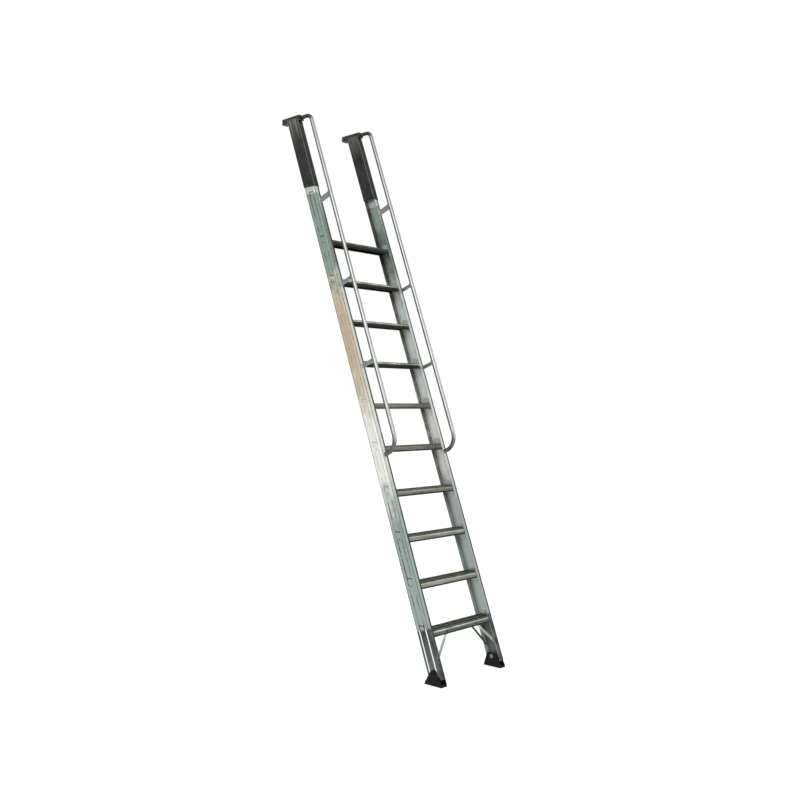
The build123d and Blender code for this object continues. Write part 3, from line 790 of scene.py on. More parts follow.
add, place = start_finish("bracket_aluminium", upright=True)
axes = add("SeparateXYZ", [place]).node.outputs
ahead = add("MapRange", [axes["Y"], ahead_start, ahead_full, 0, 0.8])
lowest = add("MapRange", [axes["Z"], brace_start, brace_full, 0, 0.9])
greyed = add("Math", [ahead, lowest], operation="MAXIMUM")
mottle = add("TexNoise", {"Vector": place, "Scale": 1 / mottle_size, "Detail": 4.0, "Roughness": 0.65})
clouds = add("TexNoise", {"Vector": place, "Scale": 1 / cloud_size, "Detail": 3.0})
edge = add("Attribute", out="Fac", attribute_name="worn_edge")
tone = add("Mix", {0: clouds, 6: "#D3D7D3", 7: "#ABB0AC"}, **colour_mix)
for mask, colour in ((greyed, "#7C827E"), (mottle, "#9A9F9A"), (edge, "#E4E5E1")):
    tone = add("Mix", {0: mask, 6: tone, 7: colour}, **colour_mix)
gloss = add("MapRange", [mottle, 0.3, 0.7, 0.28, 0.44])
end_finish("bracket_aluminium", {
    "Base Color": tone, "Metallic": 1.0, "Roughness": gloss}, mottle, 0.15, 0.0005)

# %% [markdown]
# ## Rail aluminium
# The rails are drawn tube, and hands keep them polished: the smoothest metal on the ladder, with
# faint lines along the tube and a slight smear where it is gripped. The side towards the stile is
# darkened with painted shade, and the level run at the top carries a brown painted shade.

# %% Rail aluminium
smear_size = 0.05
rail_stand_off = 0.101
tube_drop = 0.016
tube_height = top_height - tube_drop
rear_start = -rail_stand_off - 0.005  # across the tube, a little ahead of its middle and behind it
rear_full = -rail_stand_off + 0.002
top_shade_start = tube_height - 0.035
top_shade_full = tube_height - 0.010

add, place = start_finish("rail_aluminium", upright=True)
behind = add("SeparateXYZ", [place], out="Y")
height = add("SeparateXYZ", [add("TexCoord", out="Object")], out="Z")
drawn_out = add("Mapping", {"Vector": place, "Scale": (1 / die_line, 1 / die_line, 1 / die_run)})
draw_lines = add("TexNoise", {"Vector": drawn_out, "Scale": 1.0, "Detail": 2.0})
smears = add("TexNoise", {"Vector": place, "Scale": 1 / smear_size, "Detail": 5.0, "Roughness": 0.6})
# Painted shade on the side towards the stile and on the level run at the top
rail_rear_shade = add("MapRange", [behind, rear_start, rear_full, 0, 0.9])
top_run_shade = add("MapRange", [height, top_shade_start, top_shade_full, 0, 0.85])
tone = add("Mix", {0: smears, 6: "#B2B6B4", 7: "#8E9290"}, **colour_mix)
tone = add("Mix", {0: draw_lines, 6: tone, 7: "#B9BDBA"}, blend_type="SOFT_LIGHT", **colour_mix)
for mask, colour in ((rail_rear_shade, "#575B59"), (top_run_shade, "#453F38")):
    tone = add("Mix", {0: mask, 6: tone, 7: colour}, **colour_mix)
gloss = add("MapRange", [smears, 0.3, 0.7, 0.13, 0.25])
end_finish("rail_aluminium", {
    "Base Color": tone, "Metallic": 1.0, "Roughness": gloss}, draw_lines, 0.12, 0.0003)

# %% [markdown]
# ## Rivets and fasteners
# Rivets are soft aluminium that has gone dark with old dirt, and is rubbed bright only where hands
# and goods pass. Screws, washers and nuts are zinc-plated steel, which is bluish with a few
# straw-coloured patches, and the pivot bolts are blackened steel. The three differ only in their
# colours and roughness, so one loop makes them.

# %% Rivets and fasteners
plating_cloud = 0.006
hand_middle = (hand_low + hand_high) / 2
hand_half = (hand_high - hand_low) / 2
metal_finishes = (
    # slot, clean colour, clouded colour, colour where hands rub it, least and most roughness
    ("rivet_aluminium", "#3A3D3B", "#161817", "#A9ACA8", 0.40, 0.60),
    ("zinc_steel", "#C4CBD0", "#A79F86", "#C4CBD0", 0.25, 0.42),
    ("black_steel", "#2E2E30", "#141415", "#2E2E30", 0.38, 0.60),
)
for name, clean, clouded, handled, least, most in metal_finishes:
    add, place = start_finish(name)
    clouds = add("TexNoise", {
        "Vector": place, "Scale": 1 / plating_cloud, "Detail": 4.0, "Roughness": 0.6})
    share = add("MapRange", [clouds, 0.42, 0.68], interpolation_type="SMOOTHSTEP")
    height = add("SeparateXYZ", [place], out="Z")
    from_middle = add("Math", [height, hand_middle], operation="SUBTRACT")
    from_middle = add("Math", [from_middle], operation="ABSOLUTE")
    reached = add("MapRange", [from_middle, hand_half + hand_fade, hand_half - hand_fade])
    tone = add("Mix", {0: share, 6: clean, 7: clouded}, **colour_mix)
    tone = add("Mix", {0: reached, 6: tone, 7: handled}, **colour_mix)
    gloss = add("MapRange", [clouds, 0.3, 0.7, least, most])
    end_finish(name, {"Base Color": tone, "Metallic": 1.0, "Roughness": gloss}, clouds, 0.1, 0.0004)

# %% [markdown]
# ## Black mouldings
# The caps and shoes are moulded plastic, the soles rubber and the plugs and spacers nylon. A mould
# leaves a fine grain, edges that catch on things turn greyer, and dust lies in soft patches. One
# loop makes all four from their colours.

# %% Black mouldings
grain_size = 0.0022  # real grain is about 0.5 mm, drawn coarser so that it shows
dust_size = 0.04
moulding_finishes = (
    # slot, body colour, dust colour, worn edge colour, roughness, gloss of the surface
    ("cap_moulding", "#232324", "#4A4A49", "#6A6A69", 0.50, 0.35),
    ("shoe_moulding", "#121213", "#262525", "#454443", 0.62, 0.15),
    ("sole_rubber", "#141414", "#35332F", "#3F3D3A", 0.85, 0.15),
    ("plug_nylon", "#2A2A2B", "#434342", "#5A5A59", 0.50, 0.35),
)
for name, body, dust, rubbed, roughness, sheen in moulding_finishes:
    add, place = start_finish(name)
    grain = add("TexNoise", {"Vector": place, "Scale": 1 / grain_size, "Detail": 2.0})
    dusting = add("TexNoise", {
        "Vector": place, "Scale": 1 / dust_size, "Detail": 5.0, "Roughness": 0.65})
    share = add("MapRange", [dusting, 0.45, 0.75])
    edge = add("Attribute", out="Fac", attribute_name="worn_edge")
    edge = add("Math", [edge, dusting], operation="MULTIPLY")
    tone = add("Mix", {0: share, 6: body, 7: dust}, **colour_mix)
    tone = add("Mix", {0: edge, 6: tone, 7: rubbed}, **colour_mix)
    gloss = add("MapRange", [dusting, 0.3, 0.7, roughness - 0.08, roughness + 0.10])
    end_finish(name, {
        "Base Color": tone, "Roughness": gloss, "Specular IOR Level": sheen}, grain, 0.35, 0.0003)

# %% [markdown]
# ## Sleeve PVC
# The sleeves are extruded PVC, a satin black tube with faint lines along the length instead of a
# grain. Years of hands and rack edges have turned the corners grey. Below the cap the raised ribs
# and pale lines along the length carry a painted highlight. The front, which the rail shields, has
# stayed darker.

# %% Sleeve PVC
sleeve_wall = 0.0025
sleeve_gap = 0.0002
sleeve_rib = 0.0008
sleeve_out = sleeve_gap + sleeve_wall
sleeve_outer_side = web_outer + rib_height + sleeve_out
pull_run = 0.25
handling_size = 0.05
front_start = -0.0005
front_full = -0.0015
highlight_start = stile_length - 0.16
highlight_full = stile_length - 0.03
rib_foot = sleeve_outer_side + sleeve_rib * 0.4
rib_face = sleeve_outer_side + sleeve_rib * 0.8

add, place = start_finish("sleeve_pvc", upright=True)
axes = add("SeparateXYZ", [place]).node.outputs
across = add("Math", [axes["X"]], operation="ABSOLUTE")
drawn_out = add("Mapping", {"Vector": place, "Scale": (1 / die_line, 1 / die_line, 1 / pull_run)})
pull_lines = add("TexNoise", {"Vector": drawn_out, "Scale": 1.0, "Detail": 3.0})
handling = add("TexNoise", {
    "Vector": place, "Scale": 1 / handling_size, "Detail": 4.0, "Roughness": 0.65})
in_front = add("MapRange", [axes["Y"], front_start, front_full, 1.0, 0.1])
share = add("MapRange", [handling, 0.35, 0.75, 0, in_front])
rib_top = add("MapRange", [across, rib_foot, rib_face])
# Pale lines and the rib tops below the cap are a painted highlight, mixed with the worn corners
highlight_lines = add("MapRange", [pull_lines, 0.45, 0.62, 0, 0.8])
rib_highlight = add("Math", [rib_top, highlight_lines], operation="MAXIMUM")
rib_highlight = add("MapRange", [axes["Z"], highlight_start, highlight_full, 0, rib_highlight])
rib_highlight = add("Math", [rib_highlight, in_front], operation="MULTIPLY")
edge = add("Attribute", out="Fac", attribute_name="worn_edge")
edge = add("Math", [edge, handling], operation="MULTIPLY")
edge = add("Math", [edge, rib_highlight], operation="MAXIMUM")
tone = add("Mix", {0: share, 6: "#211F20", 7: "#5A5453"}, **colour_mix)
for mask, colour in ((pull_lines, "#1B1919"), (edge, "#989A90")):
    tone = add("Mix", {0: mask, 6: tone, 7: colour}, **colour_mix)
gloss = add("MapRange", [handling, 0.3, 0.7, 0.36, 0.55])
end_finish("sleeve_pvc", {
    "Base Color": tone, "Roughness": gloss, "Specular IOR Level": 0.25}, pull_lines, 0.25, 0.0004)

# %% [markdown]
# ## Stiles
# Each stile is an extruded channel that opens inwards, with two raised ribs along the outside of
# its web. Its section has sixteen corners. It could be built from plates, but a single section
# pulled along the stile is how the real one is made, and it keeps the ribs dead straight. Both ends
# are then sawn level.

# %% Stiles
stile_corner = 0.002
small_round = 0.0004
stile_end_height = 0.040
stile_start = along(0, stile_end_height) - stile_wall
stile_rise = along(stile_depth, top_height) - stile_start


def span(middle, width):
    """Both ends of a width about its middle."""
    return middle - width / 2, middle + width / 2


def rib_corners(face, height):
    """Corners of both ribs that stand on a face across the ladder."""
    corners = []
    for step in (-1, 1):
        near, far = span(stile_depth / 2 + rib_offset * step, rib_width)
        corners += [(face, near), (face + height, near), (face + height, far), (face, far)]
    return corners


def cut_level(bm, height, keep_below):
    """Cut a leaned shape level and return the edges of the cut."""
    everything = bm.verts[:] + bm.edges[:] + bm.faces[:]
    made = bmesh.ops.bisect_plane(bm, geom=everything, plane_co=(0, 0, height), plane_no=(0, 0, 1),
                                  clear_outer=keep_below, clear_inner=not keep_below)
    return [g for g in made["geom_cut"] if isinstance(g, bmesh.types.BMEdge)]


stile_section = [
    (flange_tip, 0),
    (web_outer, 0),
    *rib_corners(web_outer, rib_height),
    (web_outer, stile_depth),
    (flange_tip, stile_depth),
    (flange_tip, stile_depth - stile_wall),
    (web_inner, stile_depth - stile_wall),
    (web_inner, stile_wall),
    (flange_tip, stile_wall),
]
stile = extruded([(x, y, stile_start) for x, y in stile_section], (0, 0, stile_rise))
web_corners = []
for edge in outer_edges(stile, longer_than=stile_rise / 2):
    x, y, z = edge.verts[0].co
    if x > web_outer - small_round and min(abs(y), abs(y - stile_depth)) < small_round:
        web_corners.append(edge)
round_edges(stile, web_corners, stile_corner, segments=4)
round_edges(stile, outer_edges(stile, longer_than=stile_rise / 2), small_round)
bmesh.ops.transform(stile, matrix=lean_over, verts=stile.verts)
for height, below in ((plate_height, True), (stile_end_height, False)):
    bmesh.ops.edgeloop_fill(stile, edges=cut_level(stile, height, keep_below=below))
add_pair(stile, "stile", "stile_aluminium")

# %% [markdown]
# ## Treads
# A tread is an extrusion too, pulled across the ladder: a level plate with three groups of grip
# ribs, and a lip in front and behind that lies along the flanges of the stiles. All ten are alike,
# so one shape is drawn at floor level and moved up the stiles one rise at a time.

# %% Treads
tread_plate = 0.0026
lip_wall = 0.0025
lip_gap = 0.0002
lip_recess = 0.0008
grip_width = 0.003
grip_pitch = 0.007
grip_group_pitch = 0.033
bracket_wall = 0.003
bracket_gap = 0.0002
lip_front = stile_wall + lip_gap
lip_rear = stile_depth - stile_wall - lip_gap
tread_half = web_inner - bracket_wall - bracket_gap
one_rise = Vector((0, rise * tan(lean), rise))

tread_line = [(level_y(lip_front, -grip_height), -grip_height)]
for group in (-1, 0, 1):
    for line in (-1, 0, 1):
        near, far = span(middle_y(0) + group * grip_group_pitch + line * grip_pitch, grip_width)
        tread_line += [(near, -grip_height), (near, 0), (far, 0), (far, -grip_height)]
for behind, height in (
    (lip_rear, -grip_height),
    (lip_rear, -tread_lip),
    (lip_rear - lip_wall, -tread_lip),
    (lip_rear - lip_wall, -grip_height - tread_plate),
    (lip_front + lip_wall, -grip_height - tread_plate),
    (lip_front + lip_wall, -tread_lip),
    (lip_front + lip_recess, -tread_lip),
    (lip_front + lip_recess, -lip_band),
    (lip_front, -lip_band),
):
    tread_line.append((level_y(behind, height), height))

tread = extruded([(-tread_half, y, z) for y, z in tread_line], (2 * tread_half, 0, 0))
round_edges(tread, outer_edges(tread, longer_than=tread_half), small_round)
bmesh.ops.translate(tread, verts=tread.verts, vec=one_rise * (first_tread_height / rise))
for number in tread_numbers:
    add_piece(tread, f"tread_{number:02d}", "tread_aluminium")
    bmesh.ops.translate(tread, verts=tread.verts, vec=one_rise)
print("treads:", tread_count, "of", len(tread.faces), "faces")
tread.free()

# %% [markdown]
# ## Tread brackets
# An angle inside each stile carries the end of every tread: a leg on the web and a ledge under the
# plate. Each is a short cut of extrusion with the corners of its leg rounded off.

# %% Tread brackets
bracket_width = 0.060
bracket_upstand = 0.036
bracket_foot = 0.026
bracket_ledge = 0.025
bracket_corner = 0.007
ledge_top = -grip_height - tread_plate
ledge_bottom = ledge_top - bracket_wall
leg_inner = web_inner - bracket_wall
bracket_section = [
    (web_inner, bracket_upstand),
    (web_inner, -bracket_foot),
    (leg_inner, -bracket_foot),
    (leg_inner, ledge_bottom),
    (leg_inner - bracket_ledge, ledge_bottom),
    (leg_inner - bracket_ledge, ledge_top),
    (leg_inner, ledge_top),
    (leg_inner, bracket_upstand),
]


def edge_run(edge, axis):
    """How far an edge runs along X, Y or Z, numbered from 0."""
    return abs(edge.verts[0].co[axis] - edge.verts[1].co[axis])


def stamp(bm, part, matrix):
    """Add a moved copy of one shape to another."""
    mesh = bpy.data.meshes.new("stamp")
    part.to_mesh(mesh)
    mesh.transform(matrix)
    bm.from_mesh(mesh)
    bpy.data.meshes.remove(mesh)


bracket_start = middle_y((bracket_upstand - bracket_foot) / 2) - bracket_width / 2
bracket = extruded([(x, bracket_start, z) for x, z in bracket_section], (0, bracket_width, 0))
leg_corners = []
for edge in outer_edges(bracket):
    at_end = not ledge_bottom - bracket_wall <= edge.verts[0].co.z <= bracket_upstand - small_round
    if at_end and edge_run(edge, 0) > bracket_wall / 2 and edge_run(edge, 1) == 0:
        leg_corners.append(edge)
round_edges(bracket, leg_corners, bracket_corner, segments=5)
round_edges(bracket, outer_edges(bracket), small_round)
brackets = new_shape()
for number in tread_numbers:
    stamp(brackets, bracket, Matrix.Translation(one_rise * (tread_top(number) / rise)))
bracket.free()
add_pair(brackets, "tread_brackets", "bracket_aluminium")

# %% [markdown]
# ## Round pieces
# Rivets, screws, bolts and washers are round about one axis. Half of the outline of such a piece,
# spun once round that axis, makes all of it. It is drawn standing on the origin, and a matrix then
# turns its axis outwards and puts it in place.


# %% Helpers for round pieces
def turned(bm, profile, steps, matrix):
    """Spin a profile of (radius, height) round Z and put it in place."""
    part = new_shape()
    verts = [part.verts.new((radius, 0, height)) for radius, height in profile]
    edges = [part.edges.new(pair) for pair in zip(verts, verts[1:])]
    bmesh.ops.spin(part, geom=verts + edges, axis=(0, 0, 1), cent=(0, 0, 0), angle=2 * pi,
                   steps=steps, use_merge=True)
    bmesh.ops.remove_doubles(part, verts=part.verts, dist=same_point)
    bmesh.ops.recalc_face_normals(part, faces=part.faces)
    stamp(bm, part, matrix)
    part.free()


def facing(place, outward):
    """The matrix that puts a shape at a place with its Z pointing outward."""
    turn = Vector((0, 0, 1)).rotation_difference(outward).to_matrix().to_4x4()
    return Matrix.Translation(place) @ turn


to_the_right = Vector((1, 0, 0))
print("heads on the right-hand side face", tuple(to_the_right))

# %% [markdown]
# ## Rivets
# Blind rivets hold the brackets, the treads and the braces. Each has a low domed head with a dimple
# where the pulling pin broke off, and a plain tail on the blind side. There are many of them, so
# each has few faces. These pass through the webs of the stiles: four for each bracket, and four
# more below each sleeve.

# %% Rivets
rivet_steps = 10
rivet_shank = 0.0024
rivet_head = 0.0046
rivet_head_height = 0.0018
rivet_tail = 0.0015
rivet_spacing = 0.012
rivet_row_rise = 0.024
rivet_low_drop = 0.017
sleeve_row_drop = 0.035
sleeve_low_drop = 0.019
sleeve_row_height = sleeve_end_height - sleeve_row_drop
sleeve_low_height = sleeve_row_height - sleeve_low_drop


def rivet_profile(shank, head, height, grip):
    """Radius and height from the middle of the head to the middle of the tail."""
    return [
        (0, height * 0.6),
        (shank * 0.6, height * 0.6),
        (shank * 0.75, height),
        (head * 0.7, height * 0.75),
        (head, height * 0.15),
        (head, 0),
        (shank, 0),
        (shank, -grip),
        (shank, -grip - rivet_tail),
        (0, -grip - rivet_tail),
    ]


def web_row(height):
    """Three places across the web at one height."""
    return [(middle_y(height) + rivet_spacing * step, height) for step in (-1, 0, 1)]


def add_web_rivets(node, places, grip):
    """Rivets through the web with their heads outside."""
    rivets = new_shape()
    profile = rivet_profile(rivet_shank, rivet_head, rivet_head_height, grip)
    for y, z in places:
        turned(rivets, profile, rivet_steps, facing((web_outer, y, z), to_the_right))
    add_pair(rivets, node, "rivet_aluminium")


tread_places = []
for number in tread_numbers:
    low_height = tread_top(number) - rivet_low_drop
    tread_places += web_row(tread_top(number) + rivet_row_rise)
    tread_places.append((middle_y(low_height), low_height))
add_web_rivets("tread_rivets", tread_places, stile_wall + bracket_wall)
sleeve_places = web_row(sleeve_row_height)
sleeve_places.append((middle_y(sleeve_low_height) + rivet_spacing, sleeve_low_height))
add_web_rivets("sleeve_rivets", sleeve_places, stile_wall)

# %% [markdown]
# ## Rivets in the treads
# Two rivets at each end of a tread pass down through its plate into the ledge of the bracket. They
# stand upright, so they only have to be moved and not turned.

# %% Rivets in the treads
ledge_rivets = new_shape()
ledge_across = tread_half - bracket_ledge / 2
ledge_profile = rivet_profile(rivet_shank, rivet_head, rivet_head_height, tread_plate + bracket_wall)
for number in tread_numbers:
    for y in span(middle_y(tread_top(number)), grip_group_pitch):
        spot = (ledge_across, y, tread_top(number) - grip_height)
        turned(ledge_rivets, ledge_profile, rivet_steps, Matrix.Translation(spot))
add_pair(ledge_rivets, "ledge_rivets", "rivet_aluminium")

# %% [markdown]
# ## Handrails
# Each rail is one bent tube: level out of the cap, down beside the stile, and square back on to its
# front face. A curve with a bevel would do, but here a ring is pulled along the straight runs and
# spun round the bends, which is what a tube bender does, so the bends are true arcs.

# %% Handrails
rail_radius = 0.0125
rail_wall = 0.002
rail_sides = 32
rail_top_bend = 0.047
top_bend_steps = 14
rail_low_bend = 0.085
low_bend_steps = 20
rail_top_angle = pi / 2 - lean
rail_end_tread = 5
rail_end_drop = 0.043
rail_end = along(0, tread_top(rail_end_tread) - rail_end_drop)
cap_nose = 0.029
socket_depth = 0.013
rail_start = Vector((flange_middle, level_y(0, top_height) - cap_nose + socket_depth, tube_height))
top_bend_reach = rail_top_bend * tan(rail_top_angle / 2)
top_corner = Vector((flange_middle, level_y(-rail_stand_off, tube_height), tube_height))
low_corner = lean_over @ Vector((flange_middle, -rail_stand_off, rail_end))
long_run = (top_corner - low_corner).length - top_bend_reach - rail_low_bend


def bend(bm, faces, centre, angle, steps):
    """Spin the end of a tube round a bend and return its new end."""
    made = bmesh.ops.spin(bm, geom=faces, axis=(1, 0, 0), cent=centre, angle=angle, steps=steps)
    return [g for g in made["geom_last"] if isinstance(g, bmesh.types.BMFace)]


rail = new_shape()
for radius in (rail_radius, rail_radius - rail_wall):
    bmesh.ops.create_circle(rail, segments=rail_sides, radius=radius,
                            matrix=facing(rail_start, Vector((0, -1, 0))))
rail_ring = bmesh.ops.bridge_loops(rail, edges=rail.edges[:])["faces"]
rail_ring = pull(rail, rail_ring, (0, top_corner.y + top_bend_reach - rail_start.y, 0))
top_bend_middle = top_corner + Vector((0, top_bend_reach, -rail_top_bend))
rail_ring = bend(rail, rail_ring, top_bend_middle, rail_top_angle, top_bend_steps)
rail_ring = pull(rail, rail_ring, -up_stile * long_run)
low_bend_middle = low_corner + up_stile * rail_low_bend + rearward * rail_low_bend
rail_ring = bend(rail, rail_ring, low_bend_middle, pi / 2, low_bend_steps)
pull(rail, rail_ring, rearward * (rail_stand_off - rail_low_bend))
add_pair(rail, "handrail", "rail_aluminium")

# %% [markdown]
# ## Stand-offs
# Three short extrusions hold each rail off its stile. Seen along the stile, one has a foot on the
# flange, an arm, and a half-round saddle that fits the tube. The arcs of the saddle come from
# spinning single points, and the rest of the outline is straight.

# %% Stand-offs
standoff_foot_half = 0.014
standoff_foot = 0.004
standoff_arm_half = 0.003
saddle_gap = 0.0002
saddle_wall = 0.0035
saddle_steps = 10
saddle_inner = rail_radius + saddle_gap
saddle_outer = saddle_inner + saddle_wall
saddle_middle = Vector((flange_middle, -rail_stand_off, 0))


def arc_points(bm, start, centre, angle, steps, axis=(0, 0, 1)):
    """Points in order along an arc, made by spinning one point."""
    points = [bm.verts.new(start)]
    for _ in range(steps):
        made = bmesh.ops.spin(bm, geom=points[-1:], axis=axis, cent=centre, angle=angle / steps, steps=1)
        points += [g for g in made["geom_last"] if isinstance(g, bmesh.types.BMVert)]
    for loose in bm.edges[:]:
        bm.edges.remove(loose)
    return points


def standoff_shape(length):
    """The outline of a stand-off, filled, pulled and rounded, in the upright stile's space."""
    bm = new_shape()
    meet = acos(standoff_arm_half / saddle_outer)
    to_side = Vector((saddle_outer, 0, 0))
    to_mouth = Vector((saddle_inner, 0, 0))
    right_arc = arc_points(bm, saddle_middle + to_side, saddle_middle, meet, saddle_steps)
    left_arc = arc_points(bm, saddle_middle - to_side, saddle_middle, -meet, saddle_steps)
    inner_arc = arc_points(bm, saddle_middle + to_mouth, saddle_middle, pi, 2 * saddle_steps)
    foot_corners = [
        (standoff_arm_half, -standoff_foot),
        (standoff_foot_half, -standoff_foot),
        (standoff_foot_half, 0),
        (-standoff_foot_half, 0),
        (-standoff_foot_half, -standoff_foot),
        (-standoff_arm_half, -standoff_foot),
    ]
    foot_points = [bm.verts.new((flange_middle + x, y, 0)) for x, y in foot_corners]
    outline = right_arc + foot_points + left_arc[::-1] + inner_arc[::-1]
    pull(bm, [bm.faces.new(outline)], (0, 0, length))
    round_edges(bm, outer_edges(bm), small_round)
    return bm


print("the saddles fit a tube of", round(2000 * rail_radius), "mm")

# %% [markdown]
# ## Stand-offs in place
# Two stand-offs sit just below the level of a tread, and a longer one sits where the next tread
# above the last would be. Each is drawn upright at its place along the stile and leaned over.

# %% Stand-offs in place
standoff_length = 0.023
standoff_drop = 0.029  # below the level of a tread
top_standoff_length = 0.036
top_standoff_height = tread_top(tread_count) + rise
standoffs = [
    # height, length along the stile
    (top_standoff_height - 4 * rise - standoff_drop, standoff_length),
    (top_standoff_height - 2 * rise - standoff_drop, standoff_length),
    (top_standoff_height, top_standoff_length),
]
for number, (height, length) in enumerate(standoffs, 1):
    standoff = standoff_shape(length)
    bmesh.ops.translate(standoff, verts=standoff.verts, vec=(0, 0, along(0, height) - length / 2))
    bmesh.ops.transform(standoff, matrix=lean_over, verts=standoff.verts)
    add_pair(standoff, f"standoff_{number}", "bracket_aluminium")

# %% [markdown]
# ## Screws in the feet of the stand-offs
# Two button-head screws hold each foot. The head is spun, and the points of its socket are then
# drawn in to a hexagon.

# %% Stand-off screws
screw_across = 0.0088
screw_head = 0.0042
screw_head_height = 0.0024
screw_length = standoff_foot + stile_wall
socket_steps = 24


def button_head(bm, shank, head, height, length, matrix):
    """A domed screw head with a hexagon socket, and its shank."""
    socket = head * 0.45
    profile = [
        (0, height * 0.35),
        (socket, height * 0.35),
        (socket, height),
        (head * 0.7, height * 0.88),
        (head * 0.94, height * 0.45),
        (head, height * 0.1),
        (head, 0),
        (shank, 0),
        (shank, -length),
        (0, -length),
    ]
    part = new_shape()
    turned(part, profile, socket_steps, Matrix.Identity(4))
    for vert in part.verts:
        if abs(hypot(vert.co.x, vert.co.y) - socket) < same_point:
            sixth = Vector(vert.co.xy).angle_signed(Vector((1, 0))) % (pi / 3) - pi / 6
            vert.co.xy *= cos(pi / 6) / cos(sixth)
    stamp(bm, part, matrix)
    part.free()


screws = new_shape()
for height, length in standoffs:
    for x in span(flange_middle, 2 * screw_across):
        spot = lean_over @ Vector((x, -standoff_foot, along(0, height)))
        screw_matrix = facing(spot, -rearward)
        button_head(screws, rivet_shank, screw_head, screw_head_height, screw_length, screw_matrix)
add_pair(screws, "standoff_screws", "zinc_steel")

# %% [markdown]
# ## Sleeves
# A black extruded PVC tube covers the top of each stile, so that the ladder can be held and rested
# without marking goods. Two ribs run along it, in line with the stile's. Its outside is pulled as a
# thin skin, then given its wall, and both ends are cut level.

# %% Sleeves
sleeve_corner = 0.003
square_on = 0.9  # least share of a normal along an axis, for a face that is square to it
sleeve_inner_side = flange_tip - sleeve_out
sleeve_section = [
    (sleeve_inner_side, -sleeve_out),
    (sleeve_outer_side, -sleeve_out),
    *rib_corners(sleeve_outer_side, sleeve_rib),
    (sleeve_outer_side, stile_depth + sleeve_out),
    (sleeve_inner_side, stile_depth + sleeve_out),
]
sleeve_start = along(0, sleeve_end_height) - stile_depth
sleeve_length = along(stile_depth, top_height) + stile_depth - sleeve_start

sleeve = extruded([(x, y, sleeve_start) for x, y in sleeve_section], (0, 0, sleeve_length))
long_edges = outer_edges(sleeve, longer_than=sleeve_length / 2)
main_corners = [e for e in long_edges if not 0 <= e.verts[0].co.y <= stile_depth]
rib_edges = [e for e in long_edges if e not in main_corners]
round_edges(sleeve, main_corners, sleeve_corner, segments=4)
round_edges(sleeve, [e for e in rib_edges if e.is_valid], small_round)
open_ends = [f for f in sleeve.faces if abs(f.normal.z) > square_on]
bmesh.ops.delete(sleeve, geom=open_ends, context="FACES_ONLY")
bmesh.ops.recalc_face_normals(sleeve, faces=sleeve.faces)
bmesh.ops.solidify(sleeve, geom=sleeve.faces[:], thickness=sleeve_wall)
bmesh.ops.transform(sleeve, matrix=lean_over, verts=sleeve.verts)
for height, below in ((plate_height, True), (sleeve_end_height, False)):
    bmesh.ops.bridge_loops(sleeve, edges=cut_level(sleeve, height, keep_below=below))
add_pair(sleeve, "sleeve", "sleeve_pvc")

# %% [markdown]
# ## Top caps
# A black moulding closes each stile. Its nose holds the end of the rail, its rear lip bears on the
# shelf or wall, and a spigot under it fits the channel. The side view is drawn as one outline,
# pulled across and then rounded, because a mould has no sharp corners.

# %% Top caps
cap_side = 0.0007
cap_boss = 0.033
cap_lip = 0.037
cap_round = 0.004
spigot_length = 0.030
spigot_gap = 0.0003
cap_front = level_y(0, top_height) - cap_nose
cap_rear = cad_high.y
cap_inner_side = sleeve_inner_side - cap_side
cap_outer_side = sleeve_outer_side + sleeve_rib + cap_side
boss_end = top_height - cap_boss
lip_end = top_height - cap_lip
cap_ahead = -sleeve_out - sleeve_gap
cap_after = stile_depth + sleeve_out + sleeve_gap
cap_line = [
    (cap_front, top_height),
    (cap_rear, top_height),
    (cap_rear, lip_end),
    (level_y(cap_after, lip_end), lip_end),
    (level_y(cap_after, plate_height), plate_height),
    (level_y(cap_ahead, plate_height), plate_height),
    (level_y(cap_ahead, boss_end), boss_end),
    (cap_front, boss_end),
]
cap_width = cap_outer_side - cap_inner_side
cap = extruded([(cap_inner_side, y, z) for y, z in cap_line], (cap_width, 0, 0))
end_edges = []
for edge in outer_edges(cap):
    from_end = min(abs(edge.verts[0].co.y - y) for y in (cap_front, cap_rear))
    if edge_run(edge, 0) > cap_round and from_end < cap_round:
        end_edges.append(edge)
round_edges(cap, end_edges, cap_round, segments=5)
round_edges(cap, outer_edges(cap), cap_round / 2, segments=3)

spigot_side = web_inner - spigot_gap
spigot_depth = (stile_depth - 2 * stile_wall - 2 * spigot_gap) / cos(lean)
near, far = span(middle_y(plate_height), spigot_depth)
spigot_line = [(flange_tip, near), (spigot_side, near), (spigot_side, far), (flange_tip, far)]
spigot = flat_face(cap, [(x, y, plate_height + cap_round) for x, y in spigot_line])
pull(cap, [spigot], -up_stile * (spigot_length + cap_round))
add_pair(cap, "top_cap", "cap_moulding")

# %% [markdown]
# ## Knee brace
# Flat bars stiffen the feet. A bar runs from inside a flange of the stile to inside a lip of the
# lowest tread. The lip lies a little further in than the flange, so the bar has a joggle, a small
# double bend. It is drawn edge on, pulled to its width and rounded at its ends.

# %% Knee brace
brace_wall = 0.003
brace_half = 0.008
brace_round = 0.0075
joggle_start = 0.017
joggle_end = 0.025


def knee_brace(foot, head, step, inward):
    """One joggled bar between two points, with its head a step further inward."""
    length = (head - foot).length
    bar = (head - foot).normalized()
    strap_line = [
        (-brace_half, 0),
        (joggle_start, 0),
        (joggle_end, step),
        (length + brace_half, step),
        (length + brace_half, step + brace_wall),
        (joggle_end, step + brace_wall),
        (joggle_start, brace_wall),
        (-brace_half, brace_wall),
    ]
    bm = extruded([(x, y, -brace_half) for x, y in strap_line], (0, 0, 2 * brace_half))
    ends = [e for e in outer_edges(bm) if edge_run(e, 1) > brace_wall / 2 and edge_run(e, 0) == 0]
    round_edges(bm, ends, brace_round, segments=6)
    round_edges(bm, outer_edges(bm), small_round)
    turn = Matrix((bar, inward, bar.cross(inward))).transposed().to_4x4()
    bmesh.ops.transform(bm, matrix=Matrix.Translation(foot) @ turn, verts=bm.verts)
    return bm


print("knee brace:", round(2000 * brace_half), "mm wide")

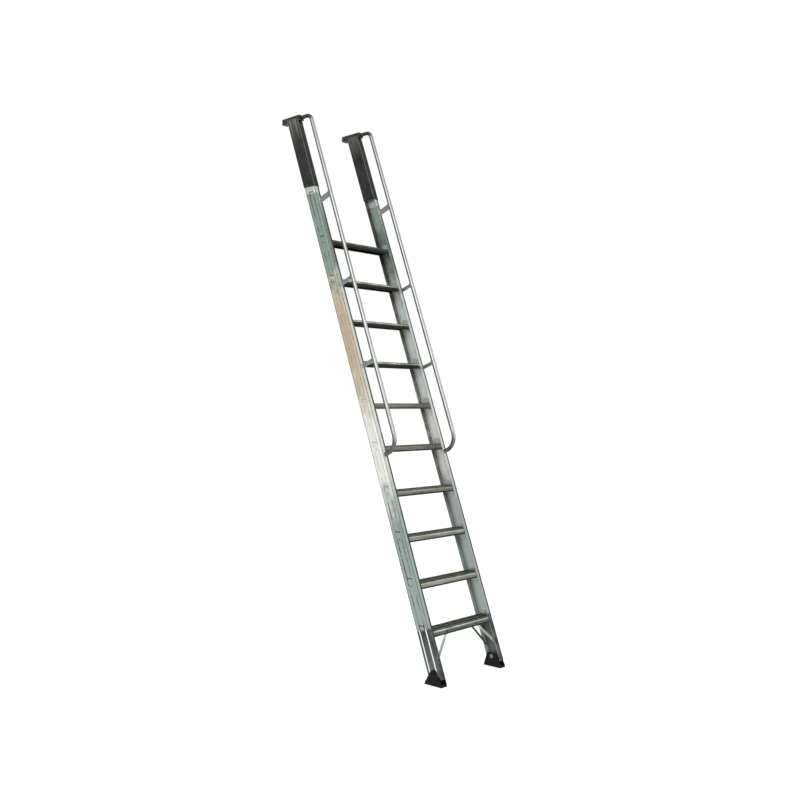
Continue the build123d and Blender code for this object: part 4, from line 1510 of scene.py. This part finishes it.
# %% [markdown]
# ## Knee braces in place
# Each side has one brace in front and one behind. They differ only in a few places and directions,
# so a loop over a small table makes both. A larger rivet holds each end, with its head outside the
# flange or the lip.

# %% Knee braces in place
brace_head_drop = 0.020
brace_top_height = first_tread_height - brace_head_drop
brace_rivet_shank = 0.003
brace_rivet_head = 0.0055
brace_rivet_head_height = 0.0022
brace_rivet_steps = 16
front_run = 0.131
front_drop = 0.126
rear_run = 0.112
rear_drop = 0.149
braces = (
    # node, inner and outer face of the flange and of the lip, run across, drop, way inward
    ("front_brace", stile_wall, 0, lip_front + lip_wall, lip_front + lip_recess,
     front_run, front_drop, rearward),
    ("rear_brace", stile_depth - stile_wall, stile_depth, lip_rear - lip_wall, lip_rear,
     rear_run, rear_drop, -rearward),
)
brace_rivets = new_shape()
for node, flange_in, flange_out, lip_in, lip_out, run, drop, inward in braces:
    foot_along = along(flange_in, brace_top_height - drop)
    head_along = along(lip_in, brace_top_height)
    foot = lean_over @ Vector((flange_middle, flange_in, foot_along))
    head = lean_over @ Vector((flange_middle - run, flange_in, head_along))
    brace = knee_brace(foot, head, abs(lip_in - flange_in), inward)
    add_pair(brace, node, "bracket_aluminium")
    for x, inner, outer, up in (
        (flange_middle, flange_in, flange_out, foot_along),
        (flange_middle - run, lip_in, lip_out, head_along),
    ):
        grip = abs(inner - outer) + brace_wall
        profile = rivet_profile(brace_rivet_shank, brace_rivet_head, brace_rivet_head_height, grip)
        spot = lean_over @ Vector((x, outer, up))
        turned(brace_rivets, profile, brace_rivet_steps, facing(spot, -inward))
add_pair(brace_rivets, "brace_rivets", "rivet_aluminium")

# %% [markdown]
# ## Swivel shoes
# Each shoe is one moulding in the shape of a U: a cheek on each side of the stile and a deck under
# its end. The outer cheek is an arch with straight flanks. Its lower part is pulled across as the
# deck, and the far end of the deck is pulled up as the inner cheek, so all three are one skin. The
# soft edges are those of a rubbery moulding.

# %% Shoes
cheek_wall = 0.006
cheek_gap = 0.0005
outer_cheek_round = 0.024
arch_steps = 16
inner_cheek_height = 0.080
inner_cheek_top_half = 0.036
inner_cheek_round = 0.012
shoe_half = 0.059
pad_height = 0.006
swing_gap = 0.0035
shoe_round = 0.0015
outer_cheek_face = web_outer + rib_height + cheek_gap
inner_cheek_face = flange_tip - cheek_gap
shoe_outer = outer_cheek_face + cheek_wall
shoe_inner = inner_cheek_face - cheek_wall
pivot_y = middle_y(pivot_height)
corner_drop = pivot_height - stile_end_height
corner_behind = stile_depth / 2 / cos(lean) - corner_drop * tan(lean)
shoe_deck = pivot_height - hypot(corner_behind, corner_drop) - swing_gap
toe_drop = pivot_height - shoe_deck
flank_turn = acos(outer_cheek_round / hypot(shoe_half, toe_drop)) - atan2(toe_drop, shoe_half)
pivot = Vector((outer_cheek_face, pivot_y, pivot_height))

shoe = new_shape()
arch_start = pivot + outer_cheek_round * Vector((0, cos(flank_turn), sin(flank_turn)))
arch = arc_points(shoe, arch_start, pivot, pi - 2 * flank_turn, arch_steps, axis=(1, 0, 0))
toes = (
    (-shoe_half, shoe_deck),
    (-shoe_half, pad_height),
    (shoe_half, pad_height),
    (shoe_half, shoe_deck),
)
toe_points = [shoe.verts.new((outer_cheek_face, pivot_y + y, z)) for y, z in toes]
pull(shoe, [shoe.faces.new(arch + toe_points)], (cheek_wall, 0, 0))
everything = shoe.verts[:] + shoe.edges[:] + shoe.faces[:]
bmesh.ops.bisect_plane(shoe, geom=everything, plane_co=(0, 0, shoe_deck), plane_no=(0, 0, 1))
bmesh.ops.recalc_face_normals(shoe, faces=shoe.faces)
deck_start = [f for f in shoe.faces if f.normal.x < -square_on and f.calc_center_median().z < shoe_deck]
deck_end = pull(shoe, deck_start, (inner_cheek_face - outer_cheek_face, 0, 0))
pull(shoe, deck_end, (-cheek_wall, 0, 0))
bmesh.ops.recalc_face_normals(shoe, faces=shoe.faces)
upward = [f for f in shoe.faces if f.normal.z > square_on]
inner_base = [f for f in upward if f.calc_center_median().x < inner_cheek_face]
inner_top = pull(shoe, inner_base, (0, 0, inner_cheek_height - shoe_deck))
bmesh.ops.scale(shoe, verts=inner_top[0].verts, vec=(1, inner_cheek_top_half / shoe_half, 1),
                space=Matrix.Translation((0, -pivot_y, 0)))
inner_corners = [e for e in inner_top[0].edges if edge_run(e, 0) > cheek_wall / 2]
round_edges(shoe, inner_corners, inner_cheek_round, segments=6)
round_edges(shoe, outer_edges(shoe), shoe_round, segments=3)
add_pair(shoe, "shoe", "shoe_moulding")

# %% [markdown]
# ## Sole pads
# A grooved rubber pad is bonded under each shoe. It could be a block with slots cut into it, but its
# side view, grooves included, makes the whole pad when it is pulled across.

# %% Sole pads
pad_edge = 0.0009  # past each side of the shoe
groove_width = 0.004
groove_depth = 0.0025
groove_pitch = 0.014
groove_count = 8
pad_inner = shoe_inner - pad_edge
pad_width = shoe_outer + pad_edge - pad_inner
pad_front, pad_rear = span(pivot_y, pad_length)
pad_line = [(pad_rear, 0), (pad_rear, pad_height), (pad_front, pad_height), (pad_front, 0)]
for groove in range(groove_count):
    near, far = span(pivot_y + (groove - (groove_count - 1) / 2) * groove_pitch, groove_width)
    pad_line += [(near, 0), (near, groove_depth), (far, groove_depth), (far, 0)]
pad = extruded([(pad_inner, y, z) for y, z in pad_line], (pad_width, 0, 0))
round_edges(pad, outer_edges(pad), small_round)
add_pair(pad, "sole_pad", "sole_rubber")

# %% [markdown]
# ## Pivot hardware
# A black button-head bolt passes through both cheeks and the web, with a washer and a nut on the
# inner cheek. The round parts are spun, and the nut starts from a six-sided ring.

# %% Pivot bolts, washers and nuts
pivot_radius = 0.005
pivot_head = 0.009
pivot_head_height = 0.004
washer_radius = 0.010
washer_height = 0.002
washer_steps = 32
nut_flat = 0.0085
nut_height = 0.008
bolt_tail = 0.003
bolt_length = shoe_outer - shoe_inner + washer_height + nut_height + bolt_tail
bolt = new_shape()
bolt_matrix = facing((shoe_outer, pivot_y, pivot_height), to_the_right)
button_head(bolt, pivot_radius, pivot_head, pivot_head_height, bolt_length, bolt_matrix)
add_pair(bolt, "pivot_bolt", "black_steel")

washer = new_shape()
washer_profile = [
    (pivot_radius, 0),
    (pivot_radius, -washer_height),
    (washer_radius - small_round, -washer_height),
    (washer_radius, -washer_height + small_round),
    (washer_radius, 0),
    (pivot_radius, 0),
]
washer_matrix = facing((shoe_inner, pivot_y, pivot_height), to_the_right)
turned(washer, washer_profile, washer_steps, washer_matrix)
add_pair(washer, "pivot_washer", "zinc_steel")

nut = new_shape()
nut_matrix = facing((shoe_inner - washer_height, pivot_y, pivot_height), -to_the_right)
for radius in (nut_flat / cos(pi / 6), pivot_radius):
    bmesh.ops.create_circle(nut, segments=6, radius=radius, matrix=nut_matrix)
nut_ring = bmesh.ops.bridge_loops(nut, edges=nut.edges[:])["faces"]
pull(nut, nut_ring, (-nut_height, 0, 0))
round_edges(nut, outer_edges(nut), small_round)
add_pair(nut, "pivot_nut", "zinc_steel")

# %% [markdown]
# ## Pieces kept from the frame
# The plugs inside the rails, the bolts that hold them and the spacers inside the shoes are plain
# turned parts that are hidden or nearly so. Their solids stay as they are and only take a finish.

# %% Finishes on the kept solids
kept_solids = (
    ("rail_plug", "plug_nylon"),
    ("rail_bolt", "zinc_steel"),
    ("pivot_spacer", "plug_nylon"),
)
for node, finish in kept_solids:
    for side in ("_left", "_right"):
        solid = frame["nodes"][node + side]
        solid.data.materials.clear()
        solid.data.materials.append(finishes[finish])
    print(node, "pair: kept, with", finish)
